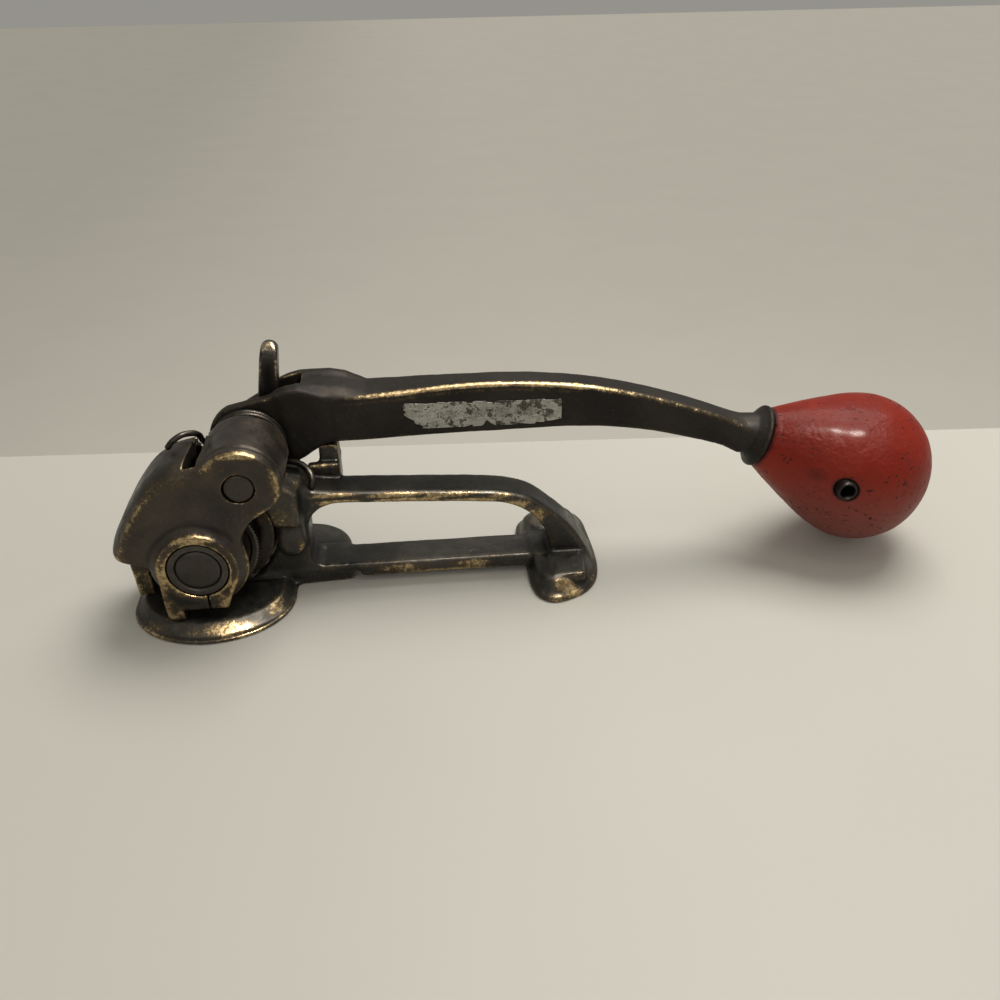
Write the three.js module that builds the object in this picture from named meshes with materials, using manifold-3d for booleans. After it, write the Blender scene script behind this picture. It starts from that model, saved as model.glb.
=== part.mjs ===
// Feedwheel tensioner for steel strapping. Millimetres, +Z up, +X from the head to the knob, +Y to the back.
// Origin: on the table, below the feedwheel's axis, at the middle of the strap path.
import * as THREE from 'three';
import { mergeVertices } from 'three/addons/utils/BufferGeometryUtils.js';
import Module from 'manifold-3d';

const wasm = await Module();
wasm.setup();

// ---- driving dimensions ----
const WHEEL_Z = 27.5; // height of the feedwheel's axis
const WHEEL_R = 20.5;
const WHEEL_Y = [-3.6, 5.0]; // front and back faces of the feedwheel
const PIVOT = { x: 18.5, z: 58.5 }; // common axis of arm, lever and drive pinion
const GAP = 0.3; // clearance round every loose or running fit
const PIN_R = 5.65;
const PIN_Y = [-15.1, 43.6];
const ARM_FRONT = -15.3; // front face of the housing arm
const RING_FRONT = -18.8; // front face of the lower bearing boss
const CHEEK_BACK = -9.8; // back of the arm's front cheek
const BOSS_R = 14.4; // pivot boss at the front
const SLEEVE_R = 15.2; // and at the back of the sleeve
const LUG_R = 10.8; // base lug inside the sleeve
const LUG_Y = [-9.5, 6.7];
const WEB_Y = [5.4, 7.0]; // arm's wall between wheel and gear
const GEAR_Y = [7.4, 12.6];
const COVER_Y = [13.2, 15.2];
const HUB_R = 11.2; // cover plate's hub, inside the spring
const HUB_BACK = 20.9;
const PINION_TEETH = 12;
const GEAR_TEETH = 24;
const GEAR_MODULE = 2;
const TOOTH_TOP = 0.9; // stub teeth
const TOOTH_FOOT = 1.6;
const RATCHET_TEETH = 12;
const RATCHET_R = [8.2, 10.6];
const RATCHET_Y = [27.0, 33.0];
const QUILL_R = 7.5; // hollow shaft joining pinion and ratchet
const SHAFT_R = 7.9; // feedwheel shaft
const BUSH_R = 11.0; // front bush outside
const CHEEK_A = [21.6, 26.2]; // lever's front cheek
const CHEEK_B = [35.9, 40.4]; // and rear cheek
const LEVER_Y = [21.6, 33.4]; // lever arm
const BEND_FROM = 140; // where the lever starts to lean to the front
const BEND = -0.062;
const FRAME_Y = [7.0, 22.5]; // D-handle
const KNOB = { x: 258.2, y: 20.0, z: 33.3 };
const KNOB_TILT = THREE.MathUtils.degToRad(-19.9);
const PIN_ALONG = -12.2; // roll pin's place along the knob's axis, from the ball's centre
const SPRING = { r: 12.95, wire: 1.1 };
const FINGER_PIN = { x: 31.5, z: 66.0 };
const CATCH_PIN = { x: 30.0, z: 40.0 };

// ---- helpers ----
const v2 = (p) => new THREE.Vector2(p[0], p[1]);
const v3 = (p) => new THREE.Vector3(...p);

function solid(geometry) {
  const g = geometry.clone();
  g.deleteAttribute('normal');
  g.deleteAttribute('uv');
  const m = mergeVertices(g, 1e-4);
  const pos = m.attributes.position;
  const index = Uint32Array.from(m.index.array);
  const [a, b, c] = [new THREE.Vector3(), new THREE.Vector3(), new THREE.Vector3()];
  let volume = 0;
  for (let i = 0; i < index.length; i += 3) {
    a.fromBufferAttribute(pos, index[i]);
    b.fromBufferAttribute(pos, index[i + 1]);
    c.fromBufferAttribute(pos, index[i + 2]);
    volume += a.dot(b.cross(c));
  }
  if (volume < 0) for (let i = 0; i < index.length; i += 3) index.subarray(i, i + 2).reverse();
  const mesh = new wasm.Mesh({ numProp: 3, vertProperties: new Float32Array(pos.array), triVerts: index });
  mesh.merge();
  return new wasm.Manifold(mesh);
}

function join(...parts) {
  return parts.reduce((a, b) => a.add(b));
}

function cut(body, ...tools) {
  return tools.reduce((a, b) => a.subtract(b), body);
}

// Extrusion of an XZ outline from y0 to y1. bevel: [size, depth, segments]
function plate(points, y0, y1, bevel = null) {
  const shape = new THREE.Shape(points.map(v2));
  const [size, deep, segments] = bevel ?? [0, 0, 1];
  const g = new THREE.ExtrudeGeometry(shape, {
    depth: y1 - y0 - 2 * deep,
    bevelEnabled: !!bevel,
    bevelSize: size,
    bevelOffset: -size,
    bevelThickness: deep,
    bevelSegments: segments,
  });
  g.rotateX(Math.PI / 2);
  g.translate(0, y1 - deep, 0);
  return solid(g);
}

// Extrusion of an XY outline from z0 to z1, the top scaled by [sx, sy] about [cx, cy]
function slab(points, z0, z1, top = null) {
  const g = new THREE.ExtrudeGeometry(new THREE.Shape(points.map(v2)), { depth: z1 - z0, bevelEnabled: false });
  g.translate(0, 0, z0);
  if (top) {
    const p = g.attributes.position;
    for (let i = 0; i < p.count; i++) {
      if (p.getZ(i) < (z0 + z1) / 2) continue;
      p.setX(i, top.cx + (p.getX(i) - top.cx) * top.sx);
      p.setY(i, top.cy + (p.getY(i) - top.cy) * top.sy);
    }
  }
  return solid(g);
}

function rodY(x, z, r, y0, y1, n = 28, r1 = r) {
  const g = new THREE.CylinderGeometry(r1, r, y1 - y0, n);
  g.translate(x, (y0 + y1) / 2, z);
  return solid(g);
}

function rodZ(x, y, r, z0, z1, n = 32, r1 = r) {
  const g = new THREE.CylinderGeometry(r1, r, z1 - z0, n);
  g.rotateX(Math.PI / 2);
  g.translate(x, y, (z0 + z1) / 2);
  return solid(g);
}

function ringY(x, z, outer, inner, y0, y1, n = 28) {
  return cut(rodY(x, z, outer, y0, y1, n), rodY(x, z, inner, y0 - 1, y1 + 1, n));
}

function box(x0, x1, y0, y1, z0, z1) {
  const g = new THREE.BoxGeometry(x1 - x0, y1 - y0, z1 - z0);
  g.translate((x0 + x1) / 2, (y0 + y1) / 2, (z0 + z1) / 2);
  return solid(g);
}

// Points of an arc about (cx, cz), degrees
function arc(cx, cz, r, from, to, n) {
  return Array.from({ length: n + 1 }, (_, i) => {
    const a = THREE.MathUtils.degToRad(from + ((to - from) * i) / n);
    return [cx + r * Math.cos(a), cz + r * Math.sin(a)];
  });
}

function smooth(points, n) {
  const curve = new THREE.SplineCurve(points.map(v2));
  return curve.getSpacedPoints(n).map((p) => [p.x, p.y]);
}

// Toothed outline: each tooth's flank points as [share of the pitch, radius]
function toothed(cx, cz, teeth, profile, phase = 0) {
  const out = [];
  for (let t = 0; t < teeth; t++) {
    for (const [share, r] of profile) {
      const a = ((t + share) / teeth) * 2 * Math.PI + phase;
      out.push([cx + r * Math.cos(a), cz + r * Math.sin(a)]);
    }
  }
  return out;
}

function gearTeeth(teeth, thick) {
  const r = (GEAR_MODULE * teeth) / 2;
  const [root, tip] = [r - TOOTH_FOOT, r + TOOTH_TOP];
  return [[-thick - 0.06, root], [-thick + 0.07, tip], [thick - 0.07, tip], [thick + 0.06, root]];
}

function wire(points, radius, steps, closedSides = 8) {
  const path = new THREE.CatmullRomCurve3(points.map(v3), false, 'centripetal');
  const shape = new THREE.Shape(arc(0, 0, radius, 0, 360 - 360 / closedSides, closedSides - 1).map(v2));
  return solid(new THREE.ExtrudeGeometry(shape, { steps, extrudePath: path, bevelEnabled: false }));
}

const pivotRod = (r, y0, y1, n = 28) => rodY(PIVOT.x, PIVOT.z, r, y0, y1, n);
const wheelRod = (r, y0, y1, n = 28) => rodY(0, WHEEL_Z, r, y0, y1, n);

// ---- base casting ----
function frontFoot() {
  const edge = [...arc(0.4, -1, 31, 180, 360, 22).map(([x, y]) => [x, -1 + ((y + 1) * 26) / 31])];
  const outline = [...edge, [31.4, 12], ...arc(22, 14, 8, 10, 90, 4), ...arc(-22, 14, 8.6, 90, 170, 4)];
  const low = slab(outline, 0, 1.3);
  const high = slab(outline, 1.2, 5, { cx: 0.4, cy: 6, sx: 0.86, sy: 0.78 });
  return join(low, high);
}

function rearFoot() {
  const outline = smooth(
    [[123.2, 8], [123.6, -4], [126, -12], [132, -15.5], [141.6, -12], [147.5, -6], [150.6, 2],
      [151.5, 14], [151, 30], [149.6, 41], [145, 47], [133, 46], [124, 41], [121.5, 33], [121.5, 20]], 26);
  return join(
    slab(outline, 0, 1.3),
    slab(outline, 1.2, 8, { cx: 132, cy: 14, sx: 0.74, sy: 0.84 }),
    rodZ(132.5, 30.5, 7.4, 6, 9.4, 28, 6.6),
    rodZ(138, -1.5, 6.6, 5, 8.9, 6, 5.8));
}

function dHandle() {
  const outer = [
    ...arc(0, WHEEL_Z, 26, -58, 36, 12), [23.2, 46.2], [29.5, 47.5], [36, 46.4], [40.5, 42.6],
    ...smooth([[48, 41.6], [80, 39.9], [106, 38.2], [118, 36.2], [126, 32.8], [133, 27], [138.5, 20.5],
      [142.6, 13], [145.2, 5]], 16), [145.2, 2]];
  const inner = [
    ...smooth([[38.2, 28], [40, 32], [45, 35.6], [56, 36.4], [106, 33.4], [117, 31.2], [125, 26], [130.4, 18],
      [132.8, 8.4]], 18), [42, 8.4], [39.2, 9.6], [37.8, 12.5]];
  return cut(plate(outer, ...FRAME_Y, [1.3, 1.6, 1]), plate(inner, FRAME_Y[0] - 1, FRAME_Y[1] + 1));
}

function baseLug() {
  const neck = [[13.2, 51], [21.8, 43.2], [24.2, 38.4], [25.9, 32.8], [34.8, 32.3], [35.6, 37], [36, 46.4], [31.2, 50.4],
    [28.2, 54]];
  const bulge = [...arc(31.2, 22.4, 5.4, 180, 360, 10), [36.2, 33], [26.6, 33]];
  return join(pivotRod(LUG_R, ...LUG_Y), plate(neck, LUG_Y[0] + 7, 12), plate(bulge, 3, 9));
}

function catchLug() {
  const outline = [[26.3, 27], [41, 27], [41, 44], ...arc(30, 40, 4.6, 60, 180, 6), [25.4, 33]];
  return cut(
    plate(outline, FRAME_Y[1] - 3, 36.2),
    box(20, 36.4, 26.8, 33.2, 30, 48));
}

function baseCasting() {
  const lobe = [[26, 20], [53, 20], ...arc(34, 22.5, 19, 0, 90, 8), [26, 41.5]];
  let body = join(
    frontFoot(), rearFoot(), dHandle(), baseLug(), catchLug(),
    slab([[12, 6], [53, 8.4], [53, 21.5], [12, 21.5]], 0, 6.5),
    slab(lobe, 0, 8, { cx: 34, cy: 26, sx: 0.97, sy: 0.97 }),
    box(39, 51, 19.5, 34.2, 35, 47.2),
    slab([[43.4, 22.6], [51, 22.6], [51, 33.4], [43.4, 33.4]], 46, 52.5, { cx: 47.2, cy: 28, sx: 0.94, sy: 0.94 }));
  body = cut(
    body,
    pivotRod(SLEEVE_R + 0.6, 6.7, 21.6),
    pivotRod(SLEEVE_R + 0.7, 21.5, 42),
    wheelRod(26, 6.2, 13.8, 36),
    wheelRod(26, 13.7, 24, 36),
    wheelRod(WHEEL_R + 0.8, -4.2, 5.3, 36),
    rodZ(0, 0.2, 5.3, 2.2, 9),
    pivotRod(PIN_R + GAP, LUG_Y[0] - 1, LUG_Y[1] + 1),
    rodY(CATCH_PIN.x, CATCH_PIN.z, 1.8, 20, 34.5, 20),
    rodZ(PIVOT.x, -1.5, 1.5, 45, 70, 16));
  return body;
}

// ---- housing arm ----
const HOOD = smooth(
  [[-31.4, 27.6], [-31.4, 32], [-29.2, 38.4], [-25.6, 45], [-21, 52.2], [-16.2, 58.6], [-11, 63.8], [-5, 66.9],
    [1.6, 68.2], [8.6, 69.6], [14, 71.2]], 18);
// the same edge at the back, drawn in a little
const HOOD_BACK = HOOD.map(([x, z]) => [x + 1.2, z - 2.2]);

function hoodBody() {
  const outline = [...HOOD.slice(1), [40, 71.4], [40, 5], [-32, 5]];
  const right = [[13, 90], [14, 68], [16, 50], [15.6, 33], [9, 20], [70, 20], [70, 90]];
  // the left wall's lower edge rises to the back
  const rise = solid(new THREE.BoxGeometry(24, 60, 30).translate(0, 20, -15).rotateX(0.46).translate(-34, -15.3, 27.3));
  return cut(
    plate(outline, ARM_FRONT, 22, [5.2, 8.5, 3]), rise,
    box(-60, 60, WEB_Y[1], 40, 0, 90), box(-60, 60, -30, 40, 0, 27.3), plate(right, -30, 40));
}

function frontCheek() {
  const swoop = smooth([[32.7, 55], [31.2, 52.2], [28.2, 49.3], [24.6, 47], [21.2, 44.6], [18.4, 41.2], [16.6, 37.4],
    [15.6, 33]], 10);
  const outline = [...arc(PIVOT.x, PIVOT.z, BOSS_R, 130, -14, 16), ...swoop, [9, 18], [-14, 18], [-16.6, 27.4],
    [-25.5, 30.6], [-27, 34.6], [-22.8, 44.9], [-17, 53.6], [-9.6, 60], [0, 62.2], [5, 66]];
  return plate(outline, ARM_FRONT, CHEEK_BACK);
}

function lowerBoss() {
  const foot = [[-14.4, 28], [-14.6, 20], [-14.3, 10], [-13.8, 5.9], [-7.5, 5.9], [-7.8, 10], [8.6, 10], [9.4, 12],
    [12.9, 20.5], [14.6, 26.5]];
  return join(
    rodY(0, WHEEL_Z, 14.8, RING_FRONT, ARM_FRONT + 0.2, 28),
    rodY(0, WHEEL_Z, 15.2, RING_FRONT + 1.2, ARM_FRONT + 0.5, 28, 18.4),
    plate(foot, RING_FRONT, CHEEK_BACK + 0.4, [0.5, 0.6, 1]));
}

function sleeve() {
  const shell = [
    ...arc(PIVOT.x, PIVOT.z, 15.1, -8, 216, 18),
    ...arc(PIVOT.x, PIVOT.z, LUG_R + 0.4, 216, -8, 16)];
  return join(
    plate(shell, CHEEK_BACK - 0.2, GEAR_Y[0] - 0.4),
    plate([...arc(PIVOT.x, PIVOT.z, SLEEVE_R, -8, 196, 18), ...arc(PIVOT.x, PIVOT.z, 13.45, 196, -8, 18)],
      GEAR_Y[0] - 0.6, COVER_Y[0] - 0.2));
}

function legGroove() {
  return join(
    wire([...SPRING_LEG.slice(3), [5.9, 16.9, 58.5], [6.6, 17.2, 54]], 1.7, 22, 8),
    box(0.9, 5.2, 5.6, 13, 64.6, 80), box(0.9, 5.2, 11, 18, 62.6, 80));
}

function housingArm() {
  const web = [...arc(0, WHEEL_Z, 25.2, -52, 38, 14), [12, 46.5], [6, 70.3], ...[...HOOD_BACK].reverse().slice(3), [-28.6, 12],
    [-26, 6.4], [-17, 6.4]];
  const rim = [...HOOD_BACK.slice(0, 15), [5, 66], [-2, 60], ...arc(0, WHEEL_Z, 25.6, 112, 232, 16), [-17.5, 6.4],
    [-26, 6.4], [-30.4, 9], [-30.8, 16]];
  const toe = [[-30, 30], [-29.3, 19.5], [-28.3, 5.6], [-25.8, 5.6], [-25, 12], [-24, 30]];
  let body = join(
    hoodBody(), frontCheek(), lowerBoss(), sleeve(), plate(web, ...WEB_Y), plate(rim, 5.6, 13), plate(toe, -1, 5.8));
  const wheelRoom = [...arc(0, WHEEL_Z, 24, -90, 60, 16), [5, 60], [-2, 64], [-8, 61.5], [-15, 53], [-21.6, 43],
    [-26.6, 34], [-24.8, 27], [-24.4, 20], [-24, 0]];
  const gearRoom = arc(0, WHEEL_Z, 25.6, -100, 255, 32);
  body = cut(
    body,
    plate(wheelRoom, CHEEK_BACK, WEB_Y[0]),
    plate(gearRoom, WEB_Y[1], 20),
    pivotRod(13.4, WEB_Y[1], COVER_Y[0] + 1),
    pivotRod(LUG_R + 0.4, CHEEK_BACK, WEB_Y[1] + 1),
    box(25.7, 50, WEB_Y[0] - 3, 20, 20, 56.6),
    pivotRod(PIN_R + GAP, -20, 0),
    wheelRod(BUSH_R + GAP, -22, CHEEK_BACK + 2),
    wheelRod(10.6, WEB_Y[0] - 1, WEB_Y[1] + 1),
    slab([[-1.6, -12.4], [3.4, -12.4], [4.6, 1.2], [0.2, 1.2]], 58, 80),
    box(1.6, 2.1, -25, CHEEK_BACK + 2, 5, 17), legGroove());
  for (const [x, z] of COVER_SCREWS) body = cut(body, rodY(x, z, 1.8, 6.2, 14, 18));
  return body;
}

const COVER_SCREWS = [[-28.2, 32.5], [-14.2, 52.6], [-25.6, 12.2]];

function gearCover() {
  const outline = [...arc(PIVOT.x, PIVOT.z, HUB_R + 1.6, -30, 120, 12), [3, 65.6], ...[...HOOD_BACK].reverse().slice(6),
    [-30.2, 16], [-29, 10], [-25.6, 7.6], [-19, 10], ...arc(0, WHEEL_Z, 13, 236, 350, 10), [15, 34], [18, 44.5]];
  let body = join(plate(outline, ...COVER_Y), pivotRod(HUB_R, COVER_Y[0] + 1, HUB_BACK),
    wheelRod(12, COVER_Y[0] + 1, 19.5));
  body = cut(body, pivotRod(QUILL_R + GAP, 10, 24), wheelRod(9.1, 10, 22), legGroove());
  for (const [x, z] of COVER_SCREWS) body = cut(body, rodY(x, z, 1.8, 10, 20, 18));
  return body;
}

function coverScrew([x, z]) {
  const head = cut(rodY(x, z, 3.1, COVER_Y[1] + GAP, 18.2, 24), rodY(x, z, 1.6, 16.8, 21, 6));
  return join(head, rodY(x, z, 1.5, 6.6, COVER_Y[1] + 0.6, 18));
}

// ---- drive train ----
function feedwheel() {
  const rim = toothed(0, WHEEL_Z, 44, [[-0.3, WHEEL_R - 0.75], [0.12, WHEEL_R], [0.26, WHEEL_R]]);
  return cut(
    plate(rim, ...WHEEL_Y),
    ringY(0, WHEEL_Z, 17.6, 12.6, WHEEL_Y[0] - 1, WHEEL_Y[0] + 0.7),
    wheelRod(SHAFT_R + GAP, -10, 10),
    box(-1.8, 1.8, -10, 10, WHEEL_Z + 5, WHEEL_Z + 9.6));
}

function feedwheelShaft() {
  const steps = [[SHAFT_R - 0.6, RING_FRONT + 0.1], [SHAFT_R, RING_FRONT + 0.7], [SHAFT_R, -9.4], [10.2, -9.4],
    [10.2, -3.9], [SHAFT_R, -3.9], [SHAFT_R, 5.2], [7, 5.2], [7, 12.9], [6, 12.9], [6, 19.7], [5.2, 19.7],
    [5.2, 21.1], [6, 21.1], [6, 22.2], [5.5, 22.6]];
  const points = [[0, RING_FRONT + 0.1], ...steps, [0, 22.6]].map(v2);
  const g = new THREE.LatheGeometry(points, 28);
  g.translate(0, 0, WHEEL_Z);
  return cut(solid(g), box(-1.8, 1.8, -3.8, 12.4, WHEEL_Z + 5.3, WHEEL_Z + 12));
}

function feedwheelGear() {
  const rim = toothed(0, WHEEL_Z, GEAR_TEETH, gearTeeth(GEAR_TEETH, 0.225), GEAR_PHASE);
  return cut(
    plate(rim, ...GEAR_Y),
    wheelRod(7 + GAP, 0, 20),
    box(-1.8, 1.8, 0, 20, WHEEL_Z + 5, WHEEL_Z + 9.6));
}

const MESH_ANGLE = Math.atan2(WHEEL_Z - PIVOT.z, -PIVOT.x); // from the pivot towards the wheel
const PINION_PHASE = MESH_ANGLE; // a pinion tooth points at the gear
const GEAR_PHASE = MESH_ANGLE + Math.PI + Math.PI / GEAR_TEETH; // and meets a gap

function ratchetPinion() {
  const teeth = toothed(PIVOT.x, PIVOT.z, PINION_TEETH, gearTeeth(PINION_TEETH, 0.215), PINION_PHASE);
  const [low, high] = RATCHET_R;
  const saw = toothed(PIVOT.x, PIVOT.z, RATCHET_TEETH, [[0, low], [0.08, high], [0.2, high - 0.1], [0.6, 9.2]]);
  return cut(
    join(plate(teeth, ...GEAR_Y), pivotRod(QUILL_R, GEAR_Y[1] - 1, 35.5, 36), plate(saw, ...RATCHET_Y)),
    pivotRod(PIN_R + GAP, 0, 40, 36));
}

const SPRING_LEG = [[-7.6, 0.8, 67.7], [-5.0, 1.2, 70.0], [-0.2, 2.4, 71.3], [3.0, 5.2, 70.6], [3.2, 8.5, 68.4],
  [2.8, 12, 65.4], [3.4, 15.2, 61.6]]; // from the hook on the hood back to the coils

function torsionSpring() {
  const at = (deg, y, r = SPRING.r) => {
    const a = THREE.MathUtils.degToRad(deg);
    return [PIVOT.x + r * Math.cos(a), y, PIVOT.z + r * Math.sin(a)];
  };
  const coil = [];
  for (let d = 182; d >= -378; d -= 28) coil.push(at(d, 16.75 + (182 - d) * 0.0061));
  return wire(
    [...SPRING_LEG, ...coil, at(-398, 20.2, 14.4), [34.2, 19.2, 50.6], [37.4, 17, 50], [40.2, 13, 48.4],
      [41.6, 10.4, 46.4], [42, 9.4, 44.2]],
    SPRING.wire, 104, 6);
}

function retainingRing(x, z, inner, outer, y0, y1) {
  return cut(ringY(x, z, outer, inner, y0, y1, 28), box(x - 1.2, x + 1.2, y0 - 1, y1 + 1, z - outer - 1, z));
}

// ---- lever ----
function leverArm() {
  const top = smooth([[30, 76.6], [34, 78], [38.5, 78.3], [46, 76], [54, 74.8], [62, 74.6], [76, 75.5], [91, 76.8],
    [108, 77.3], [122, 76.9], [137, 75.6], [153, 73.4], [169, 70], [185, 65.3], [201, 59.6], [213, 54]], 26);
  const under = smooth([[209, 42.8], [200, 47], [184, 51.4], [170, 54.3], [156, 56], [140, 56.6], [114, 56.4],
    [90, 56.2], [60, 55.2], [50, 55.5], [45.5, 54.6], [42, 52.2], [38.4, 49.4], [33, 48.2]], 22);
  const side = (points, y0, y1, bevel) => plate(points, y0, y1, bevel);
  const web = side([...top, ...under], LEVER_Y[0], LEVER_Y[1], [1.1, 1.1, 1]);
  const inset = (p, k) => p.map(([x, z]) => [x, z + k]);
  const panelTop = inset(top.slice(5, 24), -2.6);
  const panelUnder = inset(under.slice(3, 18), 2.2);
  const panel = [...panelTop, ...panelUnder];
  return cut(
    web,
    plate(panel, LEVER_Y[0] - 1, LEVER_Y[0] + 0.8),
    plate(panel, LEVER_Y[1] - 0.8, LEVER_Y[1] + 1));
}

// Leans the part of the lever beyond BEND_FROM to the front
function leaned(body) {
  const near = body.intersect(box(-50, BEND_FROM, -60, 90, -20, 130));
  const far = body.intersect(box(BEND_FROM, 300, -60, 90, -20, 130)).warp((p) => {
    p[1] += BEND * (p[0] - BEND_FROM);
  });
  return join(near, far);
}

function knobFrame(g) {
  // +Y of a turned profile becomes the knob's axis, away from the lever
  g.rotateZ(-Math.PI / 2);
  g.rotateY(-KNOB_TILT);
  g.rotateZ(Math.atan(BEND));
  g.translate(KNOB.x, KNOB.y, KNOB.z);
  return g;
}

function turnedKnob(profile, n) {
  return solid(knobFrame(new THREE.LatheGeometry(profile.map(v2), n)));
}

function leverCollar() {
  return turnedKnob([[0, -61], [5.2, -61], [6.4, -53], [8.4, -47], [11.6, -44.2], [12.6, -43.4], [12.2, -42.3],
    [7.4, -42.1], [7.4, -8], [6, -7], [0, -7]], 32);
}

function leverHub() {
  const front = [...arc(PIVOT.x, PIVOT.z, 15.3, 118, 300, 14), [30, 47.4], [34, 48], [48, 58], [48, 74], [42, 77.4],
    [38, 78.4], [33.6, 78], [26.3, 75.4], [19, 73.8]];
  const rear = [...arc(PIVOT.x, PIVOT.z, 8.8, 132, 285, 14), [30, 48.6], [42, 53.4], [52, 56], [58, 60], [60.6, 74],
    [55.4, 77.6], [49.6, 79], [42, 78.6], [35, 77], [29, 74.2], [20.6, 70], [15.4, 66.9]];
  const heel = [[38.2, 54], [42.6, 53], [52, 56], [58, 60], [60.6, 74], [55.4, 77], [47, 78], [38.6, 77.6]];
  return join(
    plate(front, ...CHEEK_A, [0.6, 0.6, 1]),
    plate(rear, CHEEK_B[0] - 0.1, CHEEK_B[1], [0.9, 1, 2]),
    plate(heel, CHEEK_A[1] - 2, CHEEK_B[1] - 1.2));
}

function lever() {
  const pocket = plate([[0, 40], [36.6, 40], [38.2, 54], [38.2, 70], [39.6, 84], [0, 84]], CHEEK_A[1], CHEEK_B[0]);
  const drop = plate([[20, 40], [31, 40], [38.2, 50.4], [38.2, 62], [26, 62]], CHEEK_A[1], CHEEK_B[0]);
  const crossHole = solid(knobCross(new THREE.CylinderGeometry(4.5, 4.5, 30, 24).translate(PIN_ALONG, 0, 0)));
  return cut(
    join(leaned(leverArm()), leverHub(), leverCollar()),
    pocket, drop,
    pivotRod(QUILL_R + GAP, CHEEK_A[0] - 1, CHEEK_B[0] - 1),
    pivotRod(PIN_R + GAP, CHEEK_B[0] - 2, CHEEK_B[1] + 2),
    rodY(FINGER_PIN.x, FINGER_PIN.z, 2.3, CHEEK_A[0] + 1.2, CHEEK_B[1] + 1, 24),
    solid(new THREE.CylinderGeometry(2.6, 2.6, 18, 24).rotateZ(Math.PI / 2).translate(44, 31, 70.5)),
    crossHole);
}

function drivePawl() {
  const { x, z } = FINGER_PIN;
  const tail = [...arc(x, z, 4.6, -100, 60, 10), [33.4, 71.5], [30.2, 73], [24, 73], [22.6, 70.6], [24.6, 69.9],
    [23.2, 69.2], [26.6, 67], [28.6, 64.6], [30, 62]];
  const stem = slab([[21.9, 26.9], [30, 26.9], [30, 34.5], [21.9, 34.5]], 70, 91,
    { cx: 26, cy: 30.7, sx: 0.82, sy: 0.92 });
  const lean = stem.warp((p) => {
    p[0] += 0.13 * (p[2] - 70);
  });
  const dome = solid(new THREE.CylinderGeometry(3.32, 3.32, 7, 24).translate(28.75, 30.7, 90.9));
  return cut(join(plate(tail, 27, 34.6, [0.4, 0.4, 1]), lean, dome), rodY(x, z, 2.3, 20, 45, 24));
}

function catchPawl() {
  const { x, z } = CATCH_PIN;
  const outline = [...arc(x, z, 3.4, -130, 60, 10), [24, 47.2], [20.6, 47.1], [20.9, 44.4], [25.2, 39.6]];
  return cut(plate(outline, 27.2, 32.8, [0.3, 0.3, 1]), rodY(x, z, 1.8, 20, 40, 20));
}

function plunger() {
  const g = new THREE.LatheGeometry([[0, -4], [1.2, -3.6], [2.3, -2], [2.3, 4], [0, 4]].map(v2), 20);
  return solid(g.rotateZ(Math.PI / 2).translate(39.8, 31, 70.5));
}

function plungerSpring() {
  const points = [];
  for (let i = 0; i <= 24; i++) {
    points.push([44.3 + i * 0.31, 31 + 1.6 * Math.cos(i * 1.1), 70.5 + 1.6 * Math.sin(i * 1.1)]);
  }
  return wire(points, 0.35, 56, 5);
}

function labelPlate() {
  const outline = [[77, 70.8], [138, 69.4], [138, 61], [134, 59.2], [84, 59.6], [77, 66]];
  return plate(outline, LEVER_Y[0] + 0.2, LEVER_Y[0] + 0.5);
}

// ---- knob ----
function knobCross(g) {
  g.rotateY(-KNOB_TILT);
  g.rotateZ(Math.atan(BEND));
  return g.translate(KNOB.x, KNOB.y, KNOB.z);
}

function knobBody() {
  const outside = new THREE.SplineCurve([[11.9, -41.8], [12.8, -39.8], [17.0, -32.4], [22.5, -21.6], [27.6, -10.4],
    [30, 0.4], [28.4, 11], [23.4, 19.8], [15.7, 26.1], [7.8, 29.2], [0.001, 30]].map(v2)).getPoints(14)
    .map((p) => [Math.max(p.x, 0), p.y]);
  outside[outside.length - 1] = [0, 30];
  const g = [[0, -6.6], [6.2, -6.6], [7.7, -7.8], [7.7, -41.8], ...outside];
  return cut(turnedKnob(g, 28), solid(knobCross(new THREE.CylinderGeometry(4.5, 4.5, 80, 28)
    .translate(PIN_ALONG, 0, 0))));
}

function knobPin() {
  const tube = (r, h) => solid(knobCross(new THREE.CylinderGeometry(r, r, h, 28).translate(PIN_ALONG, 0, 0)));
  return cut(tube(4.1, 57.2), tube(2.7, 60));
}

const parts = [];
function part(name, body, color, metalness, roughness) {
  const mesh = body.getMesh();
  const g = new THREE.BufferGeometry();
  g.setAttribute('position', new THREE.BufferAttribute(new Float32Array(mesh.vertProperties), 3));
  g.setIndex(new THREE.BufferAttribute(new Uint32Array(mesh.triVerts), 1));
  g.computeVertexNormals();
  const m = new THREE.Mesh(g, new THREE.MeshStandardMaterial({ color, metalness, roughness }));
  m.name = name;
  parts.push(m);
}

// ---- the parts ----
part('base_casting', baseCasting(), 0x2a2622, 0.7, 0.55);
part('gripper_plug', rodZ(0, 0.2, 5.0, 2.5, 6.6, 28), 0x55504a, 0.9, 0.4);
part('pivot_pin', cut(
  join(pivotRod(PIN_R, ...PIN_Y), pivotRod(PIN_R - 0.6, PIN_Y[0] - 0.1, PIN_Y[0] + 1)),
  ringY(PIVOT.x, PIVOT.z, 9, 4.9, 41.0, 42.6), rodZ(PIVOT.x, -1.5, 1.5, 45, 70, 16)), 0x3a3835, 0.9, 0.35);
part('pivot_lock_pin', rodZ(PIVOT.x, -1.5, 1.2, 48.4, 68.6, 16), 0x6a6763, 0.9, 0.35);
part('pivot_ring', retainingRing(PIVOT.x, PIVOT.z, 5.2, 7.8, 41.3, 42.3), 0x4c4a47, 0.9, 0.4);
part('housing_arm', housingArm(), 0x2e2923, 0.7, 0.5);
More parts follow.
